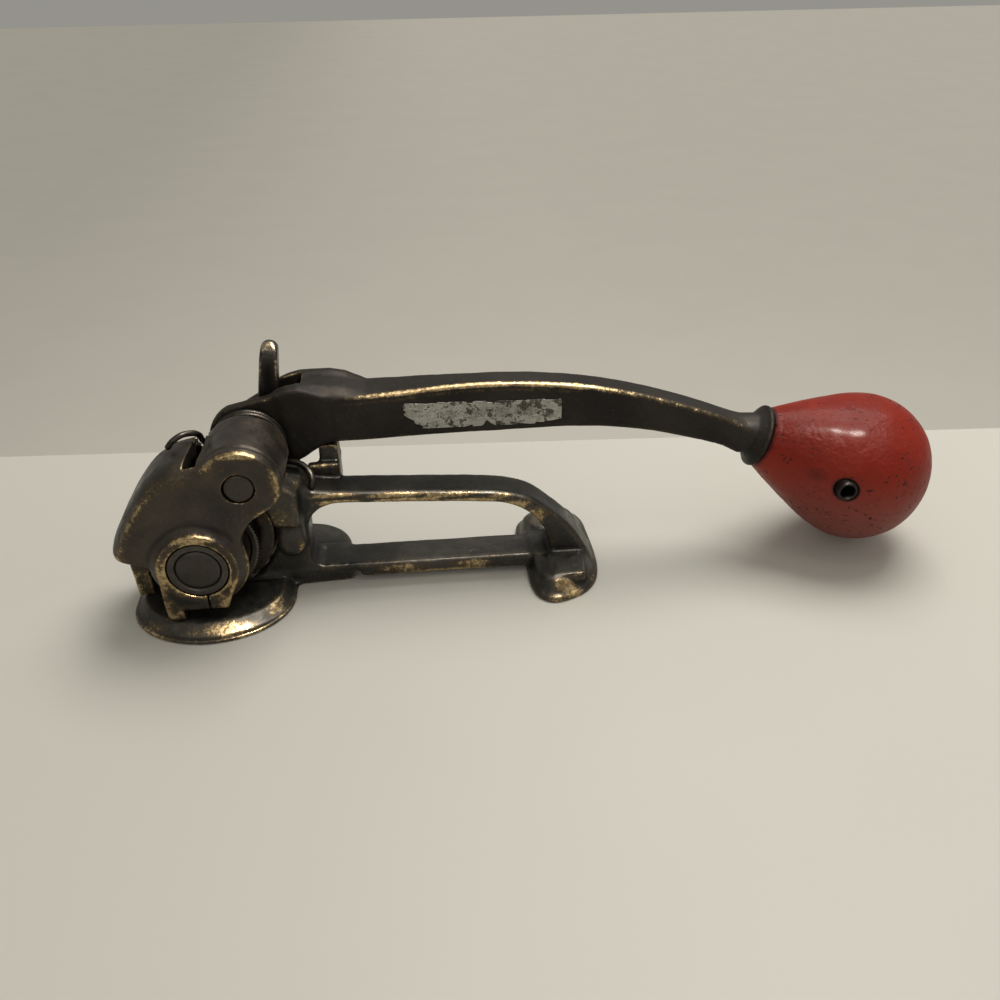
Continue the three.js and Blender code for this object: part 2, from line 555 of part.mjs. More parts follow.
part('front_bush', ringY(0, WHEEL_Z, BUSH_R, SHAFT_R + GAP, RING_FRONT + 0.2, CHEEK_BACK, 28), 0x3a3633, 0.8, 0.4);
part('gear_cover', gearCover(), 0x2c2824, 0.7, 0.55);
part('rear_bush', ringY(0, WHEEL_Z, 8.8, 6 + GAP, COVER_Y[0] + 0.4, 19.4, 24), 0x8a6a3a, 0.8, 0.4);
COVER_SCREWS.forEach((at, i) => part(`cover_screw_${i + 1}`, coverScrew(at), 0x45423e, 0.9, 0.4));
part('feedwheel', feedwheel(), 0x3c3a38, 0.9, 0.35);
part('feedwheel_shaft', feedwheelShaft(), 0x35322f, 0.9, 0.35);
part('drive_key', box(-1.5, 1.5, -3.5, 12.1, WHEEL_Z + 5.7, WHEEL_Z + 9.3), 0x5a5753, 0.9, 0.4);
part('feedwheel_gear', feedwheelGear(), 0x4a4743, 0.9, 0.4);
part('shaft_ring', retainingRing(0, WHEEL_Z, 5.5, 7.8, 19.95, 20.85), 0x4c4a47, 0.9, 0.4);
part('ratchet_pinion', ratchetPinion(), 0x46423f, 0.9, 0.4);
part('torsion_spring', torsionSpring(), 0x3b3936, 0.9, 0.3);
part('lever', lever(), 0x2b2723, 0.7, 0.5);
part('finger_pin', rodY(FINGER_PIN.x, FINGER_PIN.z, 2.0, CHEEK_A[0] + 1.6, CHEEK_B[1] - 0.1, 24), 0x55524e, 0.9, 0.4);
part('drive_pawl', drivePawl(), 0x35322e, 0.8, 0.4);
part('pawl_plunger', plunger(), 0x5c5955, 0.9, 0.35);
part('plunger_spring', plungerSpring(), 0x6e6b66, 0.9, 0.35);
part('catch_pawl', catchPawl(), 0x3f3c38, 0.8, 0.4);
part('catch_pin', rodY(CATCH_PIN.x, CATCH_PIN.z, 1.5, 20.4, 34.2, 20), 0x55524e, 0.9, 0.4);
part('label_plate', labelPlate(), 0xd8d8d2, 0.3, 0.5);
part('knob', knobBody(), 0xb01515, 0.0, 0.3);
part('knob_roll_pin', knobPin(), 0x2a2a2a, 0.8, 0.4);

const tool = new THREE.Group();
tool.name = 'strapping_tensioner';
parts.forEach((p) => tool.add(p));
export default tool;
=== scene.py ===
import itertools
import math

import bmesh
import bpy
import numpy as np
from mathutils import Matrix, Vector


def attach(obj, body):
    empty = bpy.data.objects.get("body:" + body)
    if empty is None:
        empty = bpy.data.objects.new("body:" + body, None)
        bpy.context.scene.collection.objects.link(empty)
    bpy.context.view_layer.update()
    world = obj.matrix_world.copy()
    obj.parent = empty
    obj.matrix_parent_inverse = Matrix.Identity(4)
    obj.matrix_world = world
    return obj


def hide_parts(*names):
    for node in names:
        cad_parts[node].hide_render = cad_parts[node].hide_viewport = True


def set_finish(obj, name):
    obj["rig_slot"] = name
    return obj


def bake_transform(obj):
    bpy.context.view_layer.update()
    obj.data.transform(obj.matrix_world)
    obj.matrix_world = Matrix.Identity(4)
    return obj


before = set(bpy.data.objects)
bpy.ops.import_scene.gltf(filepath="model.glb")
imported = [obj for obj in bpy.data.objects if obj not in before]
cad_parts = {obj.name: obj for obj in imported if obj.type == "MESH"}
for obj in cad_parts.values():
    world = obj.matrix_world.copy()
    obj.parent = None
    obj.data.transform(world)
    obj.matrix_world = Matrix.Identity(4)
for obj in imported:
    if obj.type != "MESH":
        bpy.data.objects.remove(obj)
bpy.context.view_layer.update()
MM = 0.001
CORNERS = list(itertools.product((0, 1), repeat=3))

# ---- driving dimensions, mm, as in the CAD model ----
WHEEL_Z, WHEEL_R, WHEEL_Y = 27.5, 20.5, (-3.6, 5.0)
PX, PZ = 18.5, 58.5    # the pivot that arm and lever turn on
GAP, PIN_R, PIN_FRONT = 0.3, 5.65, -15.2
ARM_FRONT, RING_FRONT, CHEEK_BACK = -15.3, -18.8, -9.8
BOSS_R, SLEEVE_R, LUG_R, LUG_Y = 14.4, 15.2, 10.8, (-9.5, 6.7)
WEB_Y, GEAR_Y, COVER_Y, HUB_R, HUB_BACK = (5.4, 7.0), (7.4, 12.6), (13.2, 15.2), 11.2, 20.9
QUILL_R, SHAFT_R, BUSH_R, RATCHET_Y = 7.5, 7.9, 11.0, (27.0, 33.0)
CHEEK_A, CHEEK_B, LEVER_Y = (21.6, 26.2), (35.9, 40.4), (21.6, 33.4)
BEND_FROM, BEND, FRAME_Y = 140.0, -0.062, (7.0, 22.5)
KNOB = (258.2, 20.0, 33.3)
KNOB_TILT, PIN_ALONG, PIN_BORE, KNOB_MOUTH = math.radians(-19.9), -12.2, 4.5, -41.8
SPRING_R, SPRING_WIRE = 12.95, 1.1
FX, FZ = 31.5, 66.0    # drive pawl pin
CX, CZ = 30.0, 40.0    # catch pawl pin
COVER_SCREWS = [(-28.2, 32.5), (-14.2, 52.6), (-25.6, 12.2)]


# how finely curves and fields are worked out
SPLINE_STEPS = 24      # points tried between two knots of a spline
PROFILE_CELL = 0.25    # mm, table of a turned field's section
FAR_OUTSIDE = 9.0      # mm, what an empty grid starts from
FIELD_MARGIN = 3       # mm worked round each shape
KEPT_DEPTH = 4         # mm, distances past this are cut off before softening
SURFACE_PULLS = 2      # steps that bring a surface point onto the zero level


# ---- outlines ----
def arc(cx, cz, r, a0, a1, n):
    """n steps of a circle, from a0 to a1 degrees."""
    a = np.radians(np.linspace(a0, a1, n + 1))
    return [(cx + r * math.cos(t), cz + r * math.sin(t)) for t in a]


def spline(points, n):
    """Evenly spaced points on a Catmull-Rom curve, any number of dimensions."""
    p = np.array(points, float)
    q = np.vstack([2 * p[0] - p[1], p, 2 * p[-1] - p[-2]])
    t = np.linspace(0, 1, SPLINE_STEPS, endpoint=False)[:, None]
    out = []
    for i in range(len(q) - 3):
        a, b, c, d = q[i:i + 4]
        out.append(0.5 * ((2 * b) + (c - a) * t + (2 * a - 5 * b + 4 * c - d) * t ** 2
                          + (3 * b - a - 3 * c + d) * t ** 3))
    out = np.vstack(out + [q[-2:-1]])
    s = np.concatenate([[0], np.cumsum(np.linalg.norm(np.diff(out, axis=0), axis=1))])
    at = np.linspace(0, s[-1], n + 1)
    return [tuple(v) for v in np.stack([np.interp(at, s, out[:, k]) for k in range(p.shape[1])], 1)]


def toothed(cx, cz, teeth, profile, phase=0.0):
    """Wheel outline; profile lists (share of a tooth's turn, radius)."""
    out = []
    for t in range(teeth):
        for share, r in profile:
            a = (t + share) / teeth * 2 * math.pi + phase
            out.append((cx + r * math.cos(a), cz + r * math.sin(a)))
    return out


def pivot_arc(r, a0, a1, n):
    return arc(PX, PZ, r, a0, a1, n)


def wheel_arc(r, a0, a1, n):
    return arc(0, WHEEL_Z, r, a0, a1, n)


def shifted(points, dx, dz):
    return [(x + dx, z + dz) for x, z in points]


# ---- distance fields: each shape is (low corner, high corner, function), negative inside ----
def poly_dist(u, v, points):
    """Distance from a closed outline, negative inside."""
    p = np.array(points, np.float32)
    q = np.roll(p, -1, axis=0)
    u, v = np.broadcast_arrays(u, v)
    best = np.full(u.shape, 1e9, np.float32)
    inside = np.zeros(u.shape, bool)
    for (ax, ay), (bx, by) in zip(p, q):
        ex, ey = bx - ax, by - ay
        wx, wy = u - ax, v - ay
        t = np.clip((wx * ex + wy * ey) / max(ex * ex + ey * ey, 1e-9), 0, 1)
        best = np.minimum(best, (wx - ex * t) ** 2 + (wy - ey * t) ** 2)
        inside ^= ((ay > v) != (by > v)) & (u < ex * (v - ay) / (ey if ey else 1e-9) + ax)
    best = np.sqrt(best)
    return np.where(inside, -best, best)


def beyond(v, a, b):
    """How far v is outside the stretch from a to b."""
    return np.abs(v - (a + b) / 2) - (b - a) / 2


def rounded(a, b, ra, rb=None):
    """Extrusion of distance a within distance b, its edge rounded by ra by rb."""
    rb = rb or ra
    if ra <= 0:
        return np.maximum(a, b)
    k = ra / rb
    p, q = a + ra, (b + rb) * k
    return np.minimum(np.maximum(p, q), 0) + np.hypot(np.maximum(p, 0), np.maximum(q, 0)) - ra


def plate(points, y0, y1, r=0.5, deep=None):
    """XZ outline from y0 to y1."""
    p = np.array(points)
    lo, hi = (p[:, 0].min(), y0, p[:, 1].min()), (p[:, 0].max(), y1, p[:, 1].max())

    def f(x, y, z):
        return rounded(poly_dist(x, z, points), beyond(y, y0, y1), r, deep)
    return lo, hi, f


def slab(points, z0, z1, top=None, r=0.5, slope=1.0):
    """XY outline from z0 to z1, drawn in to top = (cx, cy, sx, sy) at z1."""
    p = np.array(points)
    lo, hi = (p[:, 0].min(), p[:, 1].min(), z0), (p[:, 0].max(), p[:, 1].max(), z1)

    def f(x, y, z):
        dz = beyond(z, z0, z1)
        if not top:
            return rounded(poly_dist(x, y, points), dz, r)
        cx, cy, sx, sy = top
        t = np.clip((z - z0) / (z1 - z0), 0, 1)
        flat = []
        for k, s in enumerate(t[0, 0]):
            u, v = (w[:, :, k:k + 1] if w.shape[2] > 1 else w for w in (x, y))
            grow_x, grow_y = 1 + (sx - 1) * s, 1 + (sy - 1) * s
            flat.append(poly_dist(cx + (u - cx) / grow_x, cy + (v - cy) / grow_y, points))
        return rounded(np.concatenate(flat, axis=2) * slope, dz, r)
    return lo, hi, f


def rod(x0, z0, r, y0, y1, edge=0.4, r1=None):
    """Cylinder along Y, radius r at y0 and r1 at y1."""
    big = max(r, r1 or r)

    def f(x, y, z):
        rr = r if r1 is None else r + (r1 - r) * np.clip((y - y0) / (y1 - y0), 0, 1)
        return rounded(np.hypot(x - x0, z - z0) - rr, beyond(y, y0, y1), edge)
    return (x0 - big, y0, z0 - big), (x0 + big, y1, z0 + big), f


def post(x0, y0, r, z0, z1, edge=0.4, r1=None):
    """Cylinder along Z."""
    lo, hi, f = rod(x0, y0, r, z0, z1, edge, r1)
    return (lo[0], lo[2], lo[1]), (hi[0], hi[2], hi[1]), lambda x, y, z: f(x, z, y)


def block(x0, x1, y0, y1, z0, z1, r=0.4):
    def f(x, y, z):
        d = [beyond(v, a, b) + r for v, a, b in ((x, x0, x1), (y, y0, y1), (z, z0, z1))]
        out = np.sqrt(sum(np.maximum(v, 0) ** 2 for v in d))
        return out + np.minimum(np.maximum(np.maximum(d[0], d[1]), d[2]), 0) - r
    return (x0, y0, z0), (x1, y1, z1), f


def tube(points, r):
    """Round bar through 3D points."""
    p = np.array(points, np.float32)

    def f(x, y, z):
        best = None
        for a, b in zip(p[:-1], p[1:]):
            e = b - a
            t = np.clip(((x - a[0]) * e[0] + (y - a[1]) * e[1] + (z - a[2]) * e[2]) / float(e @ e), 0, 1)
            d = (x - a[0] - e[0] * t) ** 2 + (y - a[1] - e[1] * t) ** 2 + (z - a[2] - e[2] * t) ** 2
            best = d if best is None else np.minimum(best, d)
        return np.sqrt(best) - r
    return tuple(p.min(0) - r), tuple(p.max(0) + r), f


def revolved(profile, origin, axis):
    """Closed (radius, along) profile turned about an axis."""
    p = np.array(profile)
    o, a = np.array(origin), np.array(axis) / np.linalg.norm(axis)
    ends = np.array([o + a * p[:, 1].min(), o + a * p[:, 1].max()])
    grown = p[:, 0].max() * np.sqrt(1 - a ** 2)
    mirrored = list(map(tuple, profile)) + [(-r, s) for r, s in reversed(list(map(tuple, profile)))]

    def f(x, y, z):
        s = (x - o[0]) * a[0] + (y - o[1]) * a[1] + (z - o[2]) * a[2]
        r = np.sqrt(np.maximum((x - o[0]) ** 2 + (y - o[1]) ** 2 + (z - o[2]) ** 2 - s * s, 0))
        step = PROFILE_CELL
        us = np.arange(0, r.max() + step, step, dtype=np.float32)
        vs = np.arange(s.min() - step, s.max() + step, step, dtype=np.float32)
        flat = poly_dist(us[:, None], vs[None, :], mirrored)
        fu, fv = (r - us[0]) / step, (s - vs[0]) / step
        i, j = np.minimum(fu.astype(int), len(us) - 2), np.minimum(fv.astype(int), len(vs) - 2)
        fu, fv = fu - i, fv - j
        return (flat[i, j] * (1 - fu) * (1 - fv) + flat[i + 1, j] * fu * (1 - fv)
                + flat[i, j + 1] * (1 - fu) * fv + flat[i + 1, j + 1] * fu * fv)
    return tuple(ends.min(0) - grown), tuple(ends.max(0) + grown), f


def warped(shape, fn, lo, hi):
    """Shape seen through a change of coordinates, with the box lo to hi."""
    return lo, hi, lambda x, y, z: shape[2](*fn(x, y, z))


def smin(a, b, k):
    """The lesser of two distances, blended over k."""
    if k <= 0:
        return np.minimum(a, b)
    h = np.clip(0.5 + 0.5 * (b - a) / k, 0, 1)
    return b + (a - b) * h - k * h * (1 - h)


class Casting:
    """A body built up on a grid, in mm."""

    def __init__(self, lo, hi, step):
        self.step = step
        self.axes = [np.arange(a - 2.5 * step, b + 3 * step, step, dtype=np.float32) for a, b in zip(lo, hi)]
        self.d = np.full([len(a) for a in self.axes], FAR_OUTSIDE, np.float32)

    def window(self, lo, hi, pad):
        cut = []
        for a, p, q in zip(self.axes, lo, hi):
            i, j = np.searchsorted(a, [p - pad, q + pad])
            cut.append(slice(i, max(j, i)))
        x, y, z = (a[c] for a, c in zip(self.axes, cut))
        return tuple(cut), x[:, None, None], y[None, :, None], z[None, None, :]

    def joined(self, shapes, k, sign):
        for lo, hi, f in shapes:
            w, x, y, z = self.window(lo, hi, k + FIELD_MARGIN)
            if self.d[w].size:
                self.d[w] = sign * smin(sign * self.d[w], f(x, y, z), k)
        return self

    def add(self, *shapes, k=0.0):
        return self.joined(shapes, k, 1)

    def cut(self, *shapes, k=0.0):
        return self.joined(shapes, k, -1)

    def keep_above(self, z0):
        self.d = np.maximum(self.d, (z0 - self.axes[2])[None, None, :])
        return self

    def soften(self, size):
        """Rounds every edge and corner a little."""
        n = int(math.ceil(2.2 * size / self.step))
        w = np.exp(-0.5 * (np.arange(-n, n + 1) * self.step / size) ** 2)
        w /= w.sum()
        self.d = np.clip(self.d, -KEPT_DEPTH, KEPT_DEPTH)
        for ax in range(3):
            out = np.zeros_like(self.d)
            for k, c in zip(range(-n, n + 1), w):
                src = [slice(None)] * 3
                dst = [slice(None)] * 3
                m = self.d.shape[ax]
                src[ax] = slice(max(k, 0), m + min(k, 0))
                dst[ax] = slice(max(-k, 0), m + min(-k, 0))
                out[tuple(dst)] += self.d[tuple(src)] * np.float32(c)
                if k:  # hold the end values
                    end = [slice(None)] * 3
                    end[ax] = slice(m - k, m) if k > 0 else slice(0, -k)
                    out[tuple(end)] += self.d[tuple(end)] * np.float32(c)
            self.d = out
        return self

    def origin(self):
        return np.array([a[0] for a in self.axes])

    def sample(self, p):
        """The field at points p, in mm."""
        q = (p - self.origin()) / self.step
        q = np.clip(q, 0, np.array(self.d.shape) - 1.001)
        i = q.astype(int)
        f = q - i
        out = 0
        for c in CORNERS:
            x, y, z = (f[:, k] if c[k] else 1 - f[:, k] for k in range(3))
            out = out + x * y * z * self.d[i[:, 0] + c[0], i[:, 1] + c[1], i[:, 2] + c[2]]
        return out

    def gradient(self, p, h):
        return np.stack([self.sample(p + e) - self.sample(p - e) for e in np.eye(3) * h], 1) / (2 * h)

    def surface(self):
        """Points and quads of the zero surface."""
        d = self.d
        s = d < 0
        total = sum(s[a:a + d.shape[0] - 1, b:b + d.shape[1] - 1, c:c + d.shape[2] - 1].astype(np.uint8)
                    for a, b, c in CORNERS)
        live = (total > 0) & (total < 8)
        cell = np.stack(np.nonzero(live), 1)
        index = np.full(live.shape, -1, np.int32)
        index[live] = np.arange(len(cell))
        acc, n = np.zeros((len(cell), 3)), np.zeros(len(cell))
        for a, b in itertools.combinations(CORNERS, 2):
            if sum(np.abs(np.subtract(a, b))) != 1:
                continue
            p, q = cell + a, cell + b
            da, db = d[tuple(p.T)], d[tuple(q.T)]
            m = (da < 0) != (db < 0)
            t = (da[m] / (da[m] - db[m]))[:, None]
            acc[m] += p[m] + t * (np.array(b) - a)
            n[m] += 1
        p = acc / n[:, None] * self.step + self.origin()
        for _ in range(SURFACE_PULLS):
            v, g = self.sample(p), self.gradient(p, self.step * 0.6)
            move = g * (v / np.maximum((g * g).sum(1), 0.05))[:, None]
            p -= np.clip(move, -0.5 * self.step, 0.5 * self.step)
        quads = []
        for ax in range(3):
            u, w = [k for k in range(3) if k != ax]
            lo = [slice(None)] * 3
            hi = [slice(None)] * 3
            lo[ax], hi[ax] = slice(0, -1), slice(1, None)
            change = s[tuple(lo)] != s[tuple(hi)]
            e = np.stack(np.nonzero(change), 1)
            e = e[(e[:, u] > 0) & (e[:, w] > 0) & (e[:, u] < live.shape[u]) & (e[:, w] < live.shape[w])]
            one = [e.copy() for _ in range(4)]
            one[0][:, u] -= 1
            one[0][:, w] -= 1
            one[1][:, w] -= 1
            one[3][:, u] -= 1
            f = np.stack([index[tuple(c.T)] for c in one], 1)
            flip = s[tuple(e.T)] ^ (ax == 1)
            f[~flip] = f[~flip][:, ::-1]
            quads.append(f)
        return p, np.vstack(quads)


# ---- noise, seeded ----
def value_noise(p, size, seed):
    """Smooth noise in 0..1 with lumps about `size` across, at points p."""
    q = p / size + 1000.0
    i = np.floor(q).astype(np.int64)
    f = q - i
    f = f * f * (3 - 2 * f)

    def hashed(a):
        h = (a[:, 0] * 73856093) ^ (a[:, 1] * 19349663) ^ (a[:, 2] * 83492791) ^ (seed * 2654435761)
        h = (h ^ (h >> 13)) * 1274126177
        return ((h ^ (h >> 16)) & 0xFFFF) / 65535.0
    out = 0
    for c in CORNERS:
        w = np.prod([f[:, k] if c[k] else 1 - f[:, k] for k in range(3)], axis=0)
        out = out + w * hashed(i + np.array(c))
    return out


def spots(p, marks):
    """Strength 0..1 of listed rubbed places: (x, y, z, radius) in mm, or with (rx, ry, rz)."""
    out = np.zeros(len(p))
    for x, y, z, r, s in marks:
        d = np.linalg.norm((p - (x, y, z)) / np.array(r if isinstance(r, tuple) else (r, r, r)), axis=1)
        out = np.maximum(out, s * np.clip(1.6 - 1.6 * d, 0, 1))
    return out


# ---- from fields and outlines to Blender objects ----
PIECES = {}


def set_attribute(mesh, name, values):
    a = mesh.attributes.get(name) or mesh.attributes.new(name, "FLOAT", "POINT")
    a.data.foreach_set("value", np.asarray(values, np.float32))


def to_object(name, points, faces):
    mesh = bpy.data.meshes.new(name)
    mesh.from_pydata([tuple(p) for p in points * MM], [], [tuple(int(i) for i in f) for f in faces])
    mesh.validate()
    obj = bpy.data.objects.new(name, mesh)
    bpy.context.scene.collection.objects.link(obj)
    return obj


def per_vertex(mesh, what):
    out = np.empty(len(mesh.vertices) * 3, np.float32)
    mesh.vertices.foreach_get(what, out)
    return out.reshape(-1, 3).astype(float)


def coords(mesh):
    return per_vertex(mesh, "co") / MM


def normals(mesh):
    return per_vertex(mesh, "normal")


def apply_modifiers(obj):
    dg = bpy.context.evaluated_depsgraph_get()
    mesh = bpy.data.meshes.new_from_object(obj.evaluated_get(dg))
    obj.modifiers.clear()
    old, obj.data = obj.data, mesh
    bpy.data.meshes.remove(old)
    mesh.name = obj.name


def thinned(obj, faces):
    """Collapses a dense surface to about that many triangles, keeping its shape."""
    now = sum(len(p.vertices) - 2 for p in obj.data.polygons)
    if now > faces:
        m = obj.modifiers.new("thin", "DECIMATE")
        m.ratio = faces / now
        apply_modifiers(obj)


def smooth_shaded(obj, angle=None):
    mesh = obj.data
    mesh.polygons.foreach_set("use_smooth", [True] * len(mesh.polygons))
    if angle:
        mesh.set_sharp_from_angle(angle=math.radians(angle))
    mesh.update()


def mesh_edges(mesh):
    """How convex each point is, from the mesh itself, for turned and swept pieces."""
    p, n = coords(mesh), normals(mesh)
    e = np.empty(len(mesh.edges) * 2, np.int32)
    mesh.edges.foreach_get("vertices", e)
    e = e.reshape(-1, 2)
    d = p[e[:, 0]] - p[e[:, 1]]
    length = np.maximum(np.linalg.norm(d, axis=1), 0.05)
    bend = np.zeros(len(p))
    for a, s in ((0, 1), (1, -1)):
        np.maximum.at(bend, e[:, a], s * (n[e[:, a]] * d).sum(1) / length / np.maximum(length, 0.5))
    near = np.exp(-length / 1.2)
    for _ in range(2):  # spread to the neighbours
        acc = bend.copy()
        w = np.ones(len(p))
        for a, b in ((0, 1), (1, 0)):
            np.add.at(acc, e[:, a], bend[e[:, b]] * near)
            np.add.at(w, e[:, a], near)
        bend = acc / w
    return np.clip(bend, -1, 1)


def placed(obj, body, slot, *nodes):
    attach(obj, body)
    return finished(obj, slot, *nodes)


def finished(obj, slot, *nodes):
    if nodes:
        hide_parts(*nodes)
    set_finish(obj, slot)
    PIECES[obj.name] = obj
    return obj


def cast(name, casting, faces, lumps=0.0, rub=(), seed=1, nicks=0.0, floor=None):
    """The casting's surface as an object, with lumps and nicks in its shape and its worn places marked."""
    p, f = casting.surface()
    g = casting.gradient(p, casting.step)
    n = g / np.maximum(np.linalg.norm(g, axis=1), 1e-6)[:, None]
    if lumps:  # swells about 7 and 2.6 mm across; nicks of 1.5 mm in patches
        wave = (value_noise(p, 7.0, seed) - 0.5) * 1.1 + (value_noise(p, 2.6, seed + 5) - 0.5) * 0.7
        move = np.minimum(lumps * wave, 0.35 * lumps)
        if nicks:
            pit = np.clip(value_noise(p, 1.5, seed + 9) - 0.80, 0, 1) * 5
            move = move - nicks * pit * np.clip(value_noise(p, 14, seed + 11) * 3 - 1.2, 0, 1)
        if floor is not None:
            move = np.where(p[:, 2] < floor, 0, move)
        p = p + n * move[:, None]
    obj = to_object(name, p, f)
    thinned(obj, faces)
    smooth_shaded(obj)
    q = coords(obj.data)
    centre = casting.sample(q)
    out = []
    for h in (0.8, 2.4):
        around = sum(casting.sample(q + e) + casting.sample(q - e) for e in np.eye(3) * h)
        out.append((around - 6 * centre) / h)
    set_attribute(obj.data, "edge", np.clip(out[0], -1, 1))
    set_attribute(obj.data, "round", np.clip(out[1], -1, 1))
    set_attribute(obj.data, "rub", spots(q, rub))
    return obj


def frame_of(origin, axis, side=(0, 0, 1)):
    """4x4 whose Y is the axis."""
    y = Vector(axis).normalized()
    x = Vector(side).cross(y).normalized()
    z = x.cross(y)
    m = Matrix((x, y, z)).transposed().to_4x4()
    m.translation = Vector(origin)
    return m


def turned(name, profile, origin, axis=(0, 1, 0), n=96, closed=False, side=(0, 0, 1)):
    """Turned piece: profile of (radius, along)."""
    m = np.array(frame_of(origin, axis, side))
    p, rows = [], []
    for r, s in profile:
        if r < 1e-6:
            rows.append([len(p)])
            p.append((0, s, 0))
            continue
        rows.append(list(range(len(p), len(p) + n)))
        p += [(r * math.cos(t), s, r * math.sin(t)) for t in np.linspace(0, 2 * math.pi, n, endpoint=False)]
    faces = []
    pairs = list(zip(rows[:-1], rows[1:])) + ([(rows[-1], rows[0])] if closed else [])
    for a, b in pairs:
        for k in range(n):
            q = (a[k % len(a)], a[(k + 1) % len(a)], b[(k + 1) % len(b)], b[k % len(b)])
            q = tuple(dict.fromkeys(q))
            if len(q) > 2:
                faces.append(q)
    v = np.array(p) @ m[:3, :3].T + m[:3, 3]
    obj = to_object(name, v, faces)
    outward(obj)
    return obj


def outward(obj):
    bm = bmesh.new()
    bm.from_mesh(obj.data)
    bmesh.ops.recalc_face_normals(bm, faces=bm.faces)
    bm.to_mesh(obj.data)
    bm.free()


def swept(name, points, r, steps, sides=16, swell=0.0):
    """Round wire along a smooth curve, its ends domed and the last stretch thicker by swell."""
    c = np.array(spline(points, steps))
    t = np.gradient(c, axis=0)
    t /= np.linalg.norm(t, axis=1)[:, None]
    up = np.cross(t[0], (0, 0, 1.0))
    up /= np.linalg.norm(up)
    rings, p = [], []
    dome = [(-0.85, 0.35), (-0.55, 0.75), (-0.2, 0.97)]
    for i in range(len(c)):
        up = up - t[i] * (up @ t[i])
        up /= np.linalg.norm(up)
        other = np.cross(t[i], up)
        wide = r * (1 + swell * min(max((i / len(c) - 0.9) / 0.04, 0), 1))
        sizes = [(0, 1)]
        if i == 0:
            sizes = dome + sizes
        if i == len(c) - 1:
            sizes = sizes + [(-a, b) for a, b in reversed(dome)]
        for a, b in sizes:
            rings.append(len(p))
            for k in range(sides):
                w = 2 * math.pi * k / sides
                p.append(c[i] + t[i] * a * wide + (up * math.cos(w) + other * math.sin(w)) * wide * b)
    faces = [tuple(range(sides - 1, -1, -1)), tuple(range(rings[-1], rings[-1] + sides))]
    for a, b in zip(rings[:-1], rings[1:]):
        faces += [(a + k, a + (k + 1) % sides, b + (k + 1) % sides, b + k) for k in range(sides)]
    obj = to_object(name, np.array(p), faces)
    outward(obj)
    return obj


def marked(obj, rub=(), angle=32):
    """Smooth shading and wear marks for a turned or swept piece."""
    smooth_shaded(obj, angle)
    e = mesh_edges(obj.data)
    set_attribute(obj.data, "edge", e)
    set_attribute(obj.data, "round", e)
    set_attribute(obj.data, "rub", spots(coords(obj.data), rub))
    return obj


# ---- base casting ----
def pivot_rod(r, y0, y1, edge=0.3):
    return rod(PX, PZ, r, y0, y1, edge)


def wheel_rod(r, y0, y1, edge=0.3, r1=None):
    return rod(0, WHEEL_Z, r, y0, y1, edge, r1)


